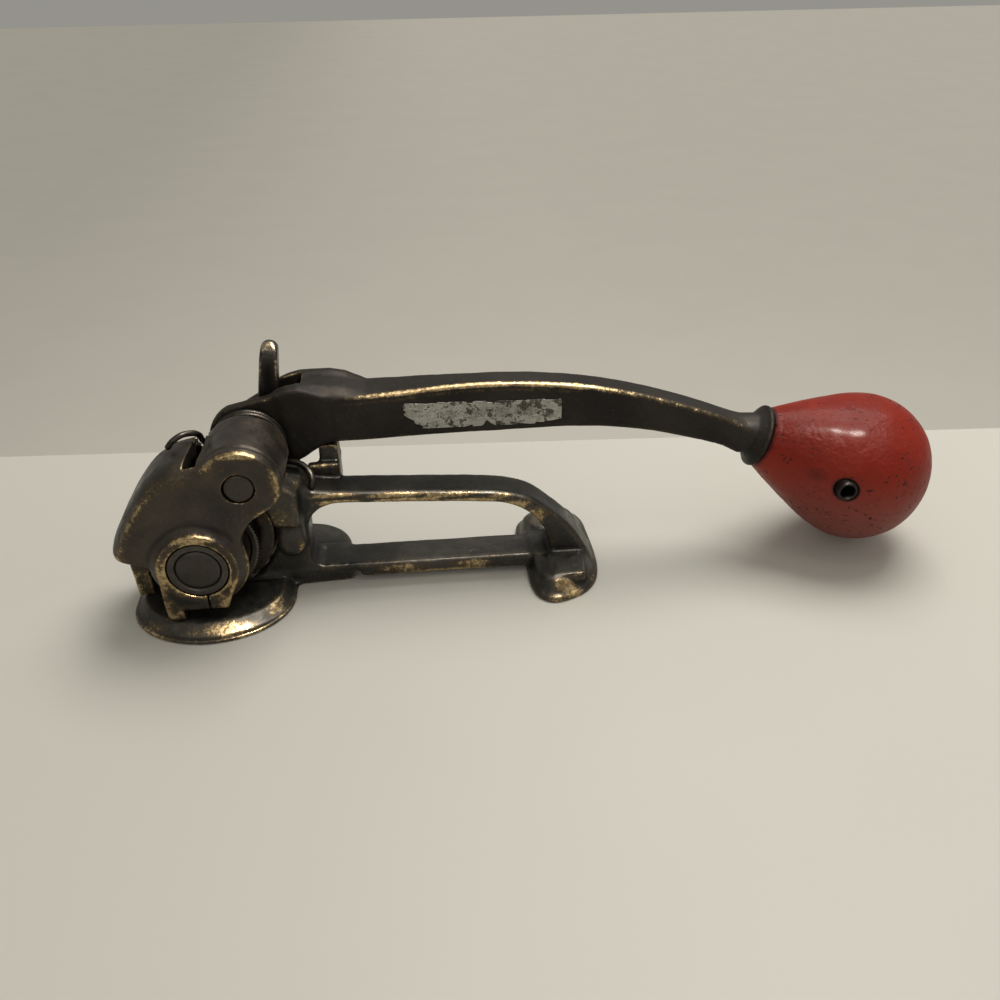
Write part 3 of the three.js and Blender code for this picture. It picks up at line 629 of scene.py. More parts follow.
def base_casting():
    c = Casting((-31, -27.4, 0), (152, 47.4, 69.6), 0.55)
    rim = [(x, -1 + (y + 1) * 26 / 31) for x, y in arc(0.4, -1, 31, 180, 360, 48)]
    foot = rim + [(31.4, 12)] + arc(22, 14, 8, 10, 90, 6) + arc(-22, 14, 8.6, 90, 170, 6)
    heel = spline([(123.2, 8), (123.6, -4), (126, -12), (132, -15.5), (141.6, -12), (147.5, -6), (150.6, 2),
                   (151.5, 14), (151, 30), (149.6, 41), (145, 47), (133, 46), (124, 41), (121.5, 33),
                   (121.5, 20)], 60)
    outer = (wheel_arc(26, -58, 36, 24) + [(23.2, 46.2), (29.5, 47.5), (36, 46.4), (40.5, 42.6)]
             + spline([(48, 41.6), (80, 39.9), (106, 38.2), (118, 36.2), (126, 32.8), (133, 27),
                       (139.6, 20.5), (145, 13), (149, 5)], 36) + [(149, 2)])
    inner = (spline([(38.2, 28), (40, 32), (45, 35.6), (56, 36.4), (106, 33.4), (117, 31.2), (125, 26),
                     (130.4, 18), (132.8, 8.4)], 40) + [(42, 8.4), (39.2, 9.6), (37.8, 12.5)])
    lobe = [(26, 20), (53, 20)] + arc(34, 22.5, 19, 0, 90, 16) + [(26, 41.5)]
    c.add(slab(foot, 0, 5.0, (0.4, 6, 0.86, 0.78), 0.5, 0.62))
    c.add(slab(foot, 0, 1.6, None, 0.5))
    c.add(plate(outer, *FRAME_Y, 2.2, 2.4), k=1.5)
    c.cut(plate(inner, FRAME_Y[0] - 3, FRAME_Y[1] + 3, 0), k=1.6)
    c.add(slab(heel, 0, 8.2, (132, 14, 0.74, 0.84), 1.2, 0.75), slab(heel, 0, 1.8, None, 0.5), k=2.4)
    c.add(post(132.5, 30.5, 7.4, 6, 9.4, 1.4, 6.8), k=1.0)
    c.add(slab([(131.2, 6.8), (144.8, 6.8), (144.2, -9.2), (131.0, -9.8)], 5, 8.8, (138, -1, 0.97, 0.97),
               0.5), k=0.5)
    # the proud strip along the rail's near side
    c.add(block(56, 124, FRAME_Y[0] - 0.4, FRAME_Y[0] + 5, 2.4, 7.4, 1.0), k=0.6)
    c.add(slab([(12, 6), (53, 8.4), (53, 21.5), (12, 21.5)], 0, 6.5, None, 0.8), k=2.2)
    c.add(slab(lobe, 0, 8, (34, 26, 0.97, 0.97), 1.4), k=2.0)
    # a lip behind the gear closes the gap beside it
    c.add(plate(wheel_arc(27, -50, 34, 24) + wheel_arc(23.4, 34, -50, 24), 15.9, 19.5, 0.6), k=0.6)
    # lug for the pivot and its neck
    neck = [(13.2, 51), (21.8, 43.2), (24.2, 38.4), (25.9, 32.8), (34.8, 32.3), (35.6, 37), (36, 46.4),
            (31.2, 50.4), (28.2, 54)]
    bulge = arc(31.2, 22.4, 5.4, 180, 360, 20) + [(36.2, 33), (26.6, 33)]
    c.add(plate(bulge, 2.0, 9, 2.6), k=3.0)
    c.add(plate(neck, LUG_Y[0] + 7.6, 12, 2.2), k=4.0)
    c.add(pivot_rod(LUG_R, *LUG_Y, 0.4), k=0.8)
    # catch lug and the post under the lever
    lug = [(26.3, 27), (41, 27), (41, 37.2), (35.4, 38.4)] + arc(CX, CZ, 4.6, 10, 180, 14) + [(25.4, 33)]
    c.add(plate(lug, FRAME_Y[1] - 3, 36.2, 0.8), k=1.2)
    c.cut(block(18, 36.4, 26.8, 33.2, 30, 50, 0.3))
    c.add(block(38.6, 51, 19.5, 23.4, 35, 47.2, 1.0), block(43, 51, 19.5, 34.2, 35, 47.2, 1.0), k=1.2)
    c.add(slab([(43.4, 22.4), (51, 22.4), (51, 33.4), (43.4, 33.4)], 44, 54.2, (47.2, 28, 0.96, 0.94), 0.9),
          k=1.0)
    c.soften(0.45)
    c.cut(pivot_rod(SLEEVE_R + 0.6, 6.7, 21.6, 0), pivot_rod(SLEEVE_R + 0.7, 21.5, 42, 0))
    c.cut(wheel_rod(26, 6.2, 15.9, 0), wheel_rod(23.4, 15, 24, 0), wheel_rod(WHEEL_R + 0.8, -4.2, 5.3, 0))
    c.cut(post(0, 0.2, 5.3, 2.2, 9, 0), pivot_rod(PIN_R + GAP, LUG_Y[0] - 3, LUG_Y[1] + 3, 0))
    c.cut(rod(CX, CZ, 1.8, 20, 34.5, 0), post(PX, -1.5, 1.5, 45, 70, 0))
    c.keep_above(0.02)
    rub = [(9, -21.5, 2.8, (21, 5, 3.2), 0.8), (26, -12, 3.4, (8, 9, 2.6), 0.75),
           (-20, -17, 2.4, (9, 7, 1.6), 0.35), (138.5, -12.8, 5.5, (9.5, 4.6, 5.8), 1.5),
           (132.5, -14, 3.0, (5, 4, 4), 0.6), (147.4, -3, 4, (3, 7, 4), 0.6),
           (72, 6.4, 5.4, (12, 3, 2.6), 0.9), (100, 6.4, 5.4, (12, 3, 2.4), 0.85),
           (88, 6.4, 3.4, (26, 3, 1.4), 0.7), (48, 6.8, 40.4, (16, 2.2, 1.3), 0.9),
           (72, 6.8, 39.2, (18, 2.2, 1.3), 1.0), (94, 6.8, 37.8, (16, 2.2, 1.3), 0.95),
           (112, 6.8, 36.2, (9, 2.2, 1.6), 0.8), (50, 6.4, 37.4, (15, 2.6, 1.8), 1.15),
           (74, 6.4, 36.6, (20, 2.6, 1.7), 1.3), (100, 6.4, 34.8, (20, 2.6, 1.7), 1.25),
           (118, 6.4, 31.6, (9, 2.6, 3), 1.15), (126, 6.6, 26.0, (6, 2.4, 6), 0.9),
           (31, 6, 47, (8, 5, 2.4), 0.8), (30, -1, 38.5, (5.5, 4, 7.5), 0.62),
           (35.4, 2.8, 20, (2, 2.4, 5.5), 0.8), (30, 3, 26, (5, 4, 9), 0.3),
           (44, 19.6, 47, (6, 2.4, 1.8), 0.5), (132.5, 30.5, 9.4, (6, 6, 2), 0.5),
           (36, 22, 8.2, (6, 6, 2), 0.3), (31.4, 21.8, 9.0, (4.5, 4, 3), 0.35)]
    obj = cast("base_body", c, 90000, lumps=0.16, rub=rub, seed=11, nicks=0.25, floor=0.4)
    return placed(obj, "base", "casting", "base_casting")


# ---- housing arm ----
HOOD = spline([(-31.4, 27.6), (-31.4, 32), (-29.2, 38.4), (-25.6, 45), (-21, 52.2), (-16.2, 58.6),
               (-11, 63.8), (-5, 66.9), (1.6, 68.2), (8.6, 69.6), (14, 71.2)], 36)
HOOD_BACK = shifted(HOOD, 1.2, -2.2)
SPRING_LEG = [(-6.7, 0.8, 68.3), (-4.7, 1.2, 70.5), (-1.4, 2.4, 72.1), (2.0, 5.0, 71.3), (3.3, 8.2, 68.7),
              (2.9, 12, 65.3), (3.4, 15.2, 61.6)]


def leg_groove():
    way = spline([*SPRING_LEG[3:], (5.9, 16.9, 58.5), (6.6, 17.2, 54)], 20)
    return [tube(way, 1.7), block(0.9, 5.2, 5.6, 13, 64.6, 80, 0.2), block(0.9, 5.2, 11, 18, 62.6, 80, 0.2)]


def housing_arm():
    c = Casting((-32, -19.2, 5.5), (34.2, 13.4, 74), 0.45)
    hood = HOOD[1:] + [(40, 71.4), (40, 5), (-32, 5)]
    c.add(plate(hood, ARM_FRONT, 22, 5.2, 8.5))
    c.cut(block(-70, 70, WEB_Y[1], 60, -20, 110, 0), block(-70, 70, -40, 60, -20, 27.3, 0))
    c.cut(plate([(13, 90), (14, 68), (16, 50), (15.6, 33), (9, 20), (70, 20), (70, 90)], -40, 60, 0))
    # the lower edge rises to the left, and the left wall's rises to the back
    c.cut(plate([(-14, 20), (-14.5, 27.3), (-25, 29.6), (-33, 32.4), (-40, 20)], -30, WEB_Y[0], 0.2), k=0.8)
    c.cut(((-33, -15.3, 20), (-22, WEB_Y[0], 42),
           lambda x, y, z: np.maximum(0.894 * (z - 29.0 - 0.5 * (y + 15.3)), x + 22)), k=0.8)
    c.add(plate([(-30, 30), (-29.3, 19.5), (-28.3, 5.6), (-22.4, 5.6), (-22.2, 12), (-23, 30)], -1, 5.8, 0.6))
    swoop = spline([(32.7, 55), (31.2, 52.2), (28.2, 49.3), (24.6, 47), (21.2, 44.6), (18.4, 41.2),
                    (16.6, 37.4), (15.6, 33)], 20)
    cheek = (pivot_arc(BOSS_R, 130, -14, 36) + swoop
             + [(9, 18), (-14, 18), (-16.6, 27.4), (-25.5, 30.6), (-27, 34.6), (-22.8, 44.9), (-17, 53.6),
                (-9.6, 60), (0, 62.2), (5, 66)])
    c.add(plate(cheek, ARM_FRONT, CHEEK_BACK, 1.3, 1.6), k=1.2)
    # a broad shoulder joins the pivot boss to its sleeve
    c.add(plate(pivot_arc(15.0, 128, -30, 36) + [(20, 50), (8, 62)], ARM_FRONT + 0.7, CHEEK_BACK, 3.2, 3.4),
          k=0.5)
    # pivot sleeve
    shell = pivot_arc(15.1, -8, 216, 40) + pivot_arc(LUG_R + 0.4, 216, -8, 40)
    band = pivot_arc(SLEEVE_R, -8, 196, 40) + pivot_arc(13.45, 196, -8, 40)
    c.add(plate(shell, CHEEK_BACK - 0.8, GEAR_Y[0] - 0.4, 0.5),
          plate(band, GEAR_Y[0] - 0.9, COVER_Y[0] - 0.2, 0.4), k=0.4)
    web = (wheel_arc(25.2, -52, 38, 28) + [(12, 46.5), (6, 70.3)] + HOOD_BACK[::-1][6:]
           + [(-28.6, 12), (-26, 6.4), (-17, 6.4)])
    rim = (HOOD_BACK[:30] + [(5, 66), (-2, 60)] + wheel_arc(25.6, 112, 232, 32)
           + [(-17.5, 6.4), (-26, 6.4), (-30.4, 9), (-30.8, 16)])
    c.add(plate(web, *WEB_Y, 0.2), plate(rim, 5.6, 13, 0.5), k=0.5)
    # lower bearing boss, a tapered round with a foot on each side of its split
    foot = [(-14.4, 28), (-14.6, 20), (-14.3, 10), (-13.8, 5.9), (-7.5, 5.9), (-7.8, 10), (8.6, 10),
            (9.4, 12), (12.9, 20.5), (14.6, 26.5)]
    c.add(wheel_rod(15.2, RING_FRONT + 1.2, ARM_FRONT + 1.5, 0.3, 18.6), k=1.6)
    c.add(wheel_rod(14.8, RING_FRONT, ARM_FRONT + 0.6, 0.7), k=0.6)
    c.add(plate(foot, RING_FRONT, CHEEK_BACK + 0.4, 0.7), k=0.3)
    room = wheel_arc(24, -90, 60, 32) + [(5, 60), (-2, 64), (-8, 61.5), (-15, 53), (-21.6, 43), (-26.6, 34),
                                         (-24.8, 27), (-22.6, 20), (-21.9, 0)]
    c.soften(0.4)
    c.cut(plate(room, CHEEK_BACK, WEB_Y[0], 0), k=0.3)
    c.cut(plate(wheel_arc(25.6, -100, 255, 60), WEB_Y[1], 20, 0))
    c.cut(pivot_rod(13.4, WEB_Y[1], COVER_Y[0] + 2, 0), pivot_rod(LUG_R + 0.4, CHEEK_BACK, WEB_Y[1] + 1, 0))
    c.cut(block(25.7, 50, WEB_Y[0] - 3, 20, 20, 56.6, 0), pivot_rod(PIN_R + 0.12, -20, 0, 0))
    c.cut(wheel_rod(BUSH_R + GAP, -24, CHEEK_BACK + 2, 0), wheel_rod(10.6, WEB_Y[0] - 1, WEB_Y[1] + 1, 0))
    c.cut(slab([(0.2, -12.4), (4.6, -12.4), (5.7, -6), (5.7, 8.8), (1.6, 8.8), (1.0, 0)], 55.5, 82, None,
               0.3), k=0.5)
    c.cut(block(1.6, 2.1, -25, CHEEK_BACK + 2, 4, 17, 0), *leg_groove())
    for x, z in COVER_SCREWS:
        c.cut(rod(x, z, 1.8, 6.2, 14, 0))
    rub = [(-26, -1, 13, (5, 2.5, 9), 0.6), (-1.5, RING_FRONT, 27.5, (17, 1.6, 15), 1.15),
           (-11.5, RING_FRONT, 11, (5, 2.6, 8), 0.95), (-13, RING_FRONT, 24, (4, 2.6, 12), 0.8),
           (7.5, RING_FRONT, 14, (5, 2.6, 5), 0.95), (12, RING_FRONT, 20, (3.5, 2.6, 8), 0.85),
           (0, RING_FRONT, 41, (12, 3.2, 3.6), 0.95), (PX + 1, ARM_FRONT, PZ + 13.6, (13, 2.8, 3), 0.9),
           (PX + 12.6, ARM_FRONT, PZ + 2, (3.6, 3.0, 10), 0.75),
           (PX - 9, ARM_FRONT, PZ + 9, (4.6, 3, 5), 0.6), (PX + 8, ARM_FRONT, PZ - 11.4, (6, 3, 4), 0.5),
           (8, -14, 62.5, (5, 3, 3), 0.5), (-26, -14.5, 33, (3.6, 3, 5), 0.4),
           (-19, -15, 50, (4, 3, 7), 0.35), (10, -13, 66, (4, 6, 3), 0.4)]
    ridge = spline([(-27.0, 32.0), (-25.6, 38), (-22.8, 44.9), (-17, 53.6), (-9.6, 60), (-1, 62.6)], 14)
    rub += [(x, ARM_FRONT + 1.2, z, (4.4, 2.8, 4.4), 0.56) for x, z in ridge]
    obj = cast("arm_body", c, 90000, lumps=0.14, rub=rub, seed=23, nicks=0.2)
    return placed(obj, "arm", "casting", "housing_arm")


def gear_cover():
    c = Casting((-30.6, 13.0, 7.2), (31.6, 21.2, 71.6), 0.45)
    outline = (pivot_arc(HUB_R + 1.6, -30, 120, 24) + [(3, 65.6)] + HOOD_BACK[::-1][12:]
               + [(-30.2, 16), (-29, 10), (-25.6, 7.6), (-19, 10)] + wheel_arc(13, 236, 350, 20)
               + [(15, 34), (18, 44.5)])
    c.add(plate(outline, *COVER_Y, 0.5))
    c.add(pivot_rod(HUB_R, COVER_Y[0] + 0.6, HUB_BACK, 0.5), wheel_rod(12, COVER_Y[0] + 0.6, 19.5, 0.8),
          k=1.0)
    # pressed rib round the gear
    c.add(plate(wheel_arc(21.2, 60, 225, 40) + wheel_arc(18.6, 225, 60, 40), COVER_Y[0] + 0.4, 16.4, 0.6),
          k=0.8)
    c.soften(0.3)
    c.cut(pivot_rod(QUILL_R + GAP, 10, 24, 0), wheel_rod(9.1, 10, 22, 0), *leg_groove())
    for x, z in COVER_SCREWS:
        c.cut(rod(x, z, 1.8, 10, 20, 0))
        c.cut(rod(x, z, 4.2, COVER_Y[1], 22, 0.2))
    rub = [(-6, 16.4, 44, (10, 3, 6), 0.4)]
    obj = cast("gear_cover_plate", c, 36000, lumps=0.08, rub=rub, seed=31, nicks=0.15)
    return placed(obj, "arm", "casting", "gear_cover")


# ---- lever ----
def knob_axis():
    m = Matrix.Rotation(math.atan(BEND), 4, "Z") @ Matrix.Rotation(-KNOB_TILT, 4, "Y")
    return np.array((m @ Vector((1, 0, 0))))[:3], np.array((m @ Vector((0, 1, 0))))[:3]


KNOB_AXIS, KNOB_SIDE = knob_axis()
PIN_AT = np.array(KNOB) + KNOB_AXIS * PIN_ALONG
TOP = spline([(30, 76.6), (34, 78), (38.5, 78.3), (46, 76), (54, 74.8), (62, 74.6), (76, 75.5), (91, 76.8),
              (108, 77.3), (122, 76.9), (137, 75.6), (153, 73.4), (169, 70), (185, 65.3), (201, 59.6),
              (213, 54)], 70)
UNDER = spline([(209, 42.8), (200, 47), (184, 51.4), (170, 54.3), (156, 56), (140, 56.6), (114, 56.4),
                (90, 56.2), (60, 55.2), (50, 55.5), (45.5, 54.6), (42, 52.2), (38.4, 49.4), (33, 48.2)], 60)
LEVER_THICK, FLARE_FROM, FLARE_LENGTH, FLARE = 11.8, 106, 50, 6.6  # mm


def flared(x, y, z):
    """The lever widens at the back towards the hub and leans over beyond the bend."""
    t = np.clip((FLARE_FROM - x) / FLARE_LENGTH, 0, 1)
    t = FLARE * t * t * (3 - 2 * t)
    y = y - BEND * np.maximum(x - BEND_FROM, 0)
    return x, LEVER_Y[0] + (y - LEVER_Y[0]) * LEVER_THICK / (LEVER_THICK + t), z


def top_rub(points, below, radii, strength):
    """Rubbed places just under the lever's top edge, following its bend."""
    return [(x, 22 + BEND * max(x - BEND_FROM, 0), z - below, radii, strength(x)) for x, z in points]


def lever():
    c = Casting((2.6, 9.4, 28.6), (254.4, 40.8, 79.4), 0.5)
    web = plate(TOP + UNDER, *LEVER_Y, 1.7, 1.9)
    low, high = (web[0][0], 15.6, web[0][2]), (web[1][0], CHEEK_B[1], web[1][2])
    c.add(warped(web, flared, low, high))
    # the neck rounds into the collar
    c.add(revolved([(0, -61), (5.2, -61), (6.6, -53), (8.6, -47), (11.2, -44.6), (12.5, -43.9), (12.6, -43.0),
                    (12.0, -42.2), (7.4, -42.1), (7.4, -8), (6, -7), (0, -7)], KNOB, KNOB_AXIS), k=2.4)
    front = (pivot_arc(15.3, 118, 300, 40) + [(30, 47.4), (34, 48), (48, 58), (48, 74), (42, 77.4),
                                              (38, 78.4), (33.6, 78), (26.3, 75.4), (19, 73.8)])
    rear = (pivot_arc(8.8, 132, 285, 30) + [(30, 48.6), (42, 53.4), (52, 56), (58, 60), (60.6, 74),
                                            (55.4, 77.6), (49.6, 79), (42, 78.6), (35, 77), (29, 74.2),
                                            (20.6, 70), (15.4, 66.9)])
    heel = [(38.2, 54), (42.6, 53), (52, 56), (58, 60), (60.6, 74), (55.4, 77), (47, 78), (38.6, 77.6)]
    c.add(plate(front, *CHEEK_A, 0.9), k=2.6)
    c.add(plate(heel, CHEEK_A[1] - 2, CHEEK_B[1] - 1.2, 2.2), k=4.0)
    c.add(plate(rear, CHEEK_B[0] - 0.1, CHEEK_B[1], 1.6), k=3.2)
    c.soften(0.4)
    c.cut(plate([(0, 40), (36.6, 40), (38.2, 54), (38.2, 70), (39.6, 84), (0, 84)], CHEEK_A[1], CHEEK_B[0],
                0), k=0.4)
    c.cut(plate([(20, 40), (31, 40), (38.2, 50.4), (38.2, 62), (26, 62)], CHEEK_A[1], CHEEK_B[0], 0))
    c.cut(pivot_rod(QUILL_R + GAP, CHEEK_A[0] - 3, CHEEK_B[0] - 1, 0),
          pivot_rod(PIN_R + GAP, CHEEK_B[0] - 2, CHEEK_B[1] + 3, 0))
    c.cut(rod(FX, FZ, 2.3, CHEEK_A[0] + 1.2, CHEEK_B[1] + 3, 0))
    c.cut(tube([(35, 31, 70.5), (51.5, 31, 70.5)], 2.6))
    c.cut(tube([PIN_AT - KNOB_SIDE * 16, PIN_AT + KNOB_SIDE * 16], PIN_BORE))
    rub = top_rub(TOP[10:46:2], 0.8, (9, 2.2, 1.3), lambda x: min(1.0, 0.35 + (x - 52) / 40))
    rub += top_rub(TOP[46:], 0.8, (3.4, 2.2, 1.4), lambda x: 0.66 - (x - 130) * 0.0042)
    rub += top_rub(TOP[10:44:2], 3.0, (9, 1.6, 0.9), lambda x: 0.6)
    rub += [(x, 22, 56.6, (9, 2.6, 1.4), 0.4) for x in (58, 80, 104, 128, 150)]
    obj = cast("lever_body", c, 96000, lumps=0.15, rub=rub, seed=37, nicks=0.22)
    # the collar keeps its black
    edge = np.empty(len(obj.data.vertices), np.float32)
    obj.data.attributes["edge"].data.foreach_get("value", edge)
    along = (coords(obj.data) - KNOB) @ KNOB_AXIS
    set_attribute(obj.data, "edge", edge * np.clip((-47.5 - along) / 6, 0.12, 1))
    return placed(obj, "lever", "casting", "lever")


def finger_pawl():
    c = Casting((20, 26.6, 58.5), (38.6, 35.2, 94.8), 0.3)
    tail = arc(FX, FZ, 4.6, -100, 60, 24) + [(33.4, 71.5), (30.2, 73), (24, 73), (22.6, 70.6), (24.6, 69.9),
                                             (23.2, 69.2), (26.6, 67), (28.6, 64.6), (30, 62)]
    c.add(plate(tail, 27, 34.6, 0.5))
    stem = [(22.2, 70), (25.5, 91)] + arc(28.8, 90.8, 3.3, 180, 0, 16) + [(32.1, 91), (30, 70)]
    c.add(plate(stem, 27, 34.5, 0.9), k=0.6)
    # its tip slopes back
    c.cut(((24, 26, 86), (34, 33, 95), lambda x, y, z: 0.8 * (y - 27) - 0.6 * (z - 88.8)), k=1.2)
    c.soften(0.2)
    c.cut(rod(FX, FZ, 2.3, 20, 45, 0))
    rub = [(28.8, 30, 93, (4.6, 4.6, 3.2), 1.0), (31.2, 27, 84, (1.6, 3, 9), 0.5),
           (25.2, 27, 84, (1.4, 3, 9), 0.4)]
    obj = cast("finger_pawl", c, 24000, lumps=0.06, rub=rub, seed=41, nicks=0.1)
    return placed(obj, "drive_pawl", "casting", "drive_pawl")


def catch_pawl():
    c = Casting((20, 27, 36), (34, 33, 48), 0.25)
    outline = arc(CX, CZ, 3.4, -130, 60, 24) + [(24, 47.2), (20.6, 47.1), (20.9, 44.4), (25.2, 39.6)]
    c.add(plate(outline, 27.2, 32.8, 0.4)).soften(0.2)
    c.cut(rod(CX, CZ, 1.8, 20, 40, 0))
    obj = cast("catch_pawl_body", c, 9000, lumps=0.03, seed=43)
    return placed(obj, "catch_pawl", "steel_dark", "catch_pawl")


# ---- drive train ----
def gear_teeth(teeth, thick):
    r = teeth * 1.0
    root, tip = r - 1.6, r + 0.9
    return [(-thick - 0.06, root), (-thick - 0.01, root + 0.2), (-thick + 0.05, tip - 0.25),
            (-thick + 0.08, tip), (thick - 0.08, tip), (thick - 0.05, tip - 0.25), (thick + 0.01, root + 0.2),
            (thick + 0.06, root)]


MESH_ANGLE = math.atan2(WHEEL_Z - PZ, -PX)


def feedwheel():
    c = Casting((-20.6, WHEEL_Y[0], 6.8), (20.6, WHEEL_Y[1], 48.2), 0.3)
    rim = toothed(0, WHEEL_Z, 88, [(-0.42, WHEEL_R - 0.8), (0.1, WHEEL_R), (0.2, WHEEL_R)])
    c.add(plate(rim, *WHEEL_Y, 0.3))
    c.cut(revolved([(12.6, -1), (17.6, -1), (17.4, 0.7), (12.9, 0.7)], (0, WHEEL_Y[0], WHEEL_Z), (0, 1, 0)))
    c.cut(wheel_rod(SHAFT_R + GAP, -10, 10, 0), block(-1.8, 1.8, -10, 10, WHEEL_Z + 5, WHEEL_Z + 9.6, 0.1))
    return placed(cast("feedwheel_body", c, 60000), "feedwheel", "steel_dark", "feedwheel")


def toothed_wheels():
    c = Casting((-25.2, GEAR_Y[0], 2.4), (25.2, GEAR_Y[1], 52.6), 0.3)
    c.add(plate(toothed(0, WHEEL_Z, 24, gear_teeth(24, 0.225), MESH_ANGLE + math.pi + math.pi / 24), *GEAR_Y,
                0.3))
    c.cut(revolved([(9.5, -1), (18, -1), (17.4, 0.9), (10.2, 0.9)], (0, GEAR_Y[1], WHEEL_Z), (0, -1, 0)))
    c.cut(wheel_rod(7 + GAP, 0, 20, 0), block(-1.8, 1.8, 0, 20, WHEEL_Z + 5, WHEEL_Z + 9.6, 0.1))
    placed(cast("feedwheel_gear_body", c, 26000), "feedwheel", "steel_dark", "feedwheel_gear")
    c = Casting((5.4, GEAR_Y[0], 45.4), (31.6, 35.5, 71.6), 0.3)
    c.add(plate(toothed(PX, PZ, 12, gear_teeth(12, 0.215), MESH_ANGLE), *GEAR_Y, 0.3))
    c.add(pivot_rod(QUILL_R, GEAR_Y[1] - 1, 35.5, 0.4))
    saw = toothed(PX, PZ, 12, [(0, 8.2), (0.08, 10.6), (0.2, 10.5), (0.4, 9.85), (0.6, 9.2), (0.8, 8.7)])
    c.add(plate(saw, *RATCHET_Y, 0.3)).cut(pivot_rod(PIN_R + GAP, 0, 40, 0))
    placed(cast("ratchet_pinion_body", c, 30000), "ratchet_pinion", "steel_dark", "ratchet_pinion")


def shaft_and_bushes():
    s = SHAFT_R
    steps = [(0, 0.1), (s - 1.6, 0.1), (s - 0.6, 0.3), (s, 0.8), (s, 9.4), (9.8, 9.4), (10.2, 9.8),
             (10.2, 14.6), (9.8, 14.9), (s, 14.9), (s, 24.0), (7, 24.3), (7, 31.6), (6.6, 31.7), (6, 31.9),
             (6, 38.5), (5.2, 38.5), (5.2, 39.9), (6, 39.9), (6, 40.9), (5.5, 41.4), (0, 41.4)]
    shaft = turned("shaft_turned", steps, (0, RING_FRONT, WHEEL_Z))
    marked(shaft, [(0, RING_FRONT, WHEEL_Z, (6, 2, 6), 0.18)])
    placed(shaft, "feedwheel", "steel_dark", "feedwheel_shaft")
    b, i, deep = BUSH_R, s + GAP, CHEEK_BACK - RING_FRONT - 0.2
    bush = turned("front_bush_turned", [(i, 0.7), (i + 0.5, 0.15), (b - 0.9, 0), (b - 0.25, 0.2), (b, 0.8),
                                        (b, deep - 0.4), (b - 0.4, deep), (i + 0.4, deep), (i, deep - 0.4)],
                  (0, RING_FRONT + 0.2, WHEEL_Z), closed=True)
    placed(marked(bush), "arm", "steel_dark", "front_bush")
    back = turned("rear_bush_turned", [(6.3, 0.3), (6.6, 0), (8.5, 0), (8.8, 0.3), (8.8, 5.5), (8.5, 5.8),
                                       (6.6, 5.8), (6.3, 5.5)], (0, COVER_Y[0] + 0.4, WHEEL_Z), closed=True)
    placed(marked(back), "arm", "bronze", "rear_bush")


def spring_clip(name, x, z, inner, outer, y0, y1, body, node):
    """Open retaining ring with an eye at each end."""
    c = Casting((x - outer, y0, z - outer), (x + outer, y1, z + outer), 0.16)
    c.add(rod(x, z, outer - 0.9, y0, y1, 0.15))
    for s in (-1, 1):
        c.add(rod(x + s * 2.5, z - outer + 1.9, 1.7, y0, y1, 0.15), k=0.5)
    c.cut(rod(x, z, inner, y0 - 3, y1 + 3, 0), block(x - 1.1, x + 1.1, y0 - 3, y1 + 3, z - outer - 3, z - 2,
                                                     0.1))
    for s in (-1, 1):
        c.cut(rod(x + s * 2.5, z - outer + 2.0, 0.6, y0 - 2, y1 + 2, 0))
    return placed(cast(name, c, 9000), body, "steel_dark", node)


def pivot_pieces():
    r, a = PIN_R, PIN_FRONT
    steps = [(0, 0.05), (r - 1.6, 0.05), (r - 0.8, 0.2), (r - 0.15, 0.75), (r, 1.2), (r, 56.2), (4.9, 56.3),
             (4.9, 57.5), (r, 57.6), (r, 58.2), (r - 0.5, 58.7), (0, 58.7)]
    pin = turned("pivot_pin_turned", steps, (PX, a, PZ), n=80)
    placed(marked(pin, [(PX, a, PZ + 3, (3, 1.6, 2), 0.25)]), "base", "steel_dark", "pivot_pin")
    spring_clip("pivot_clip", PX, PZ, 5.2, 7.8, 41.3, 42.3, "base", "pivot_ring")
    spring_clip("shaft_clip", 0, WHEEL_Z, 5.5, 7.8, 19.95, 20.85, "feedwheel", "shaft_ring")
    lock = turned("pivot_lock_rolled", [(0, 0), (0.8, 0), (1.2, 0.5), (1.2, 19.6), (0.8, 20.1), (0, 20.1)],
                  (PX, -1.5, 48.45), (0, 0, 1), 40, side=(0, 1, 0))
    placed(marked(lock), "base", "steel_bright", "pivot_lock_pin")


def cap_screws():
    for i, (x, z) in enumerate(COVER_SCREWS):
        y = COVER_Y[1] + GAP
        c = Casting((x - 3.2, 6.4, z - 3.2), (x + 3.2, 18.4, z + 3.2), 0.18)
        c.add(rod(x, z, 3.1, y, 18.2, 0.35), rod(x, z, 1.5, 6.6, y + 0.5, 0.2))
        c.cut(plate(arc(x, z, 1.75, 15 + 37 * i, 315 + 37 * i, 5), 16.6, 21, 0))
        placed(cast(f"cap_screw_{i + 1}", c, 8000), "arm", "steel_dark", f"cover_screw_{i + 1}")


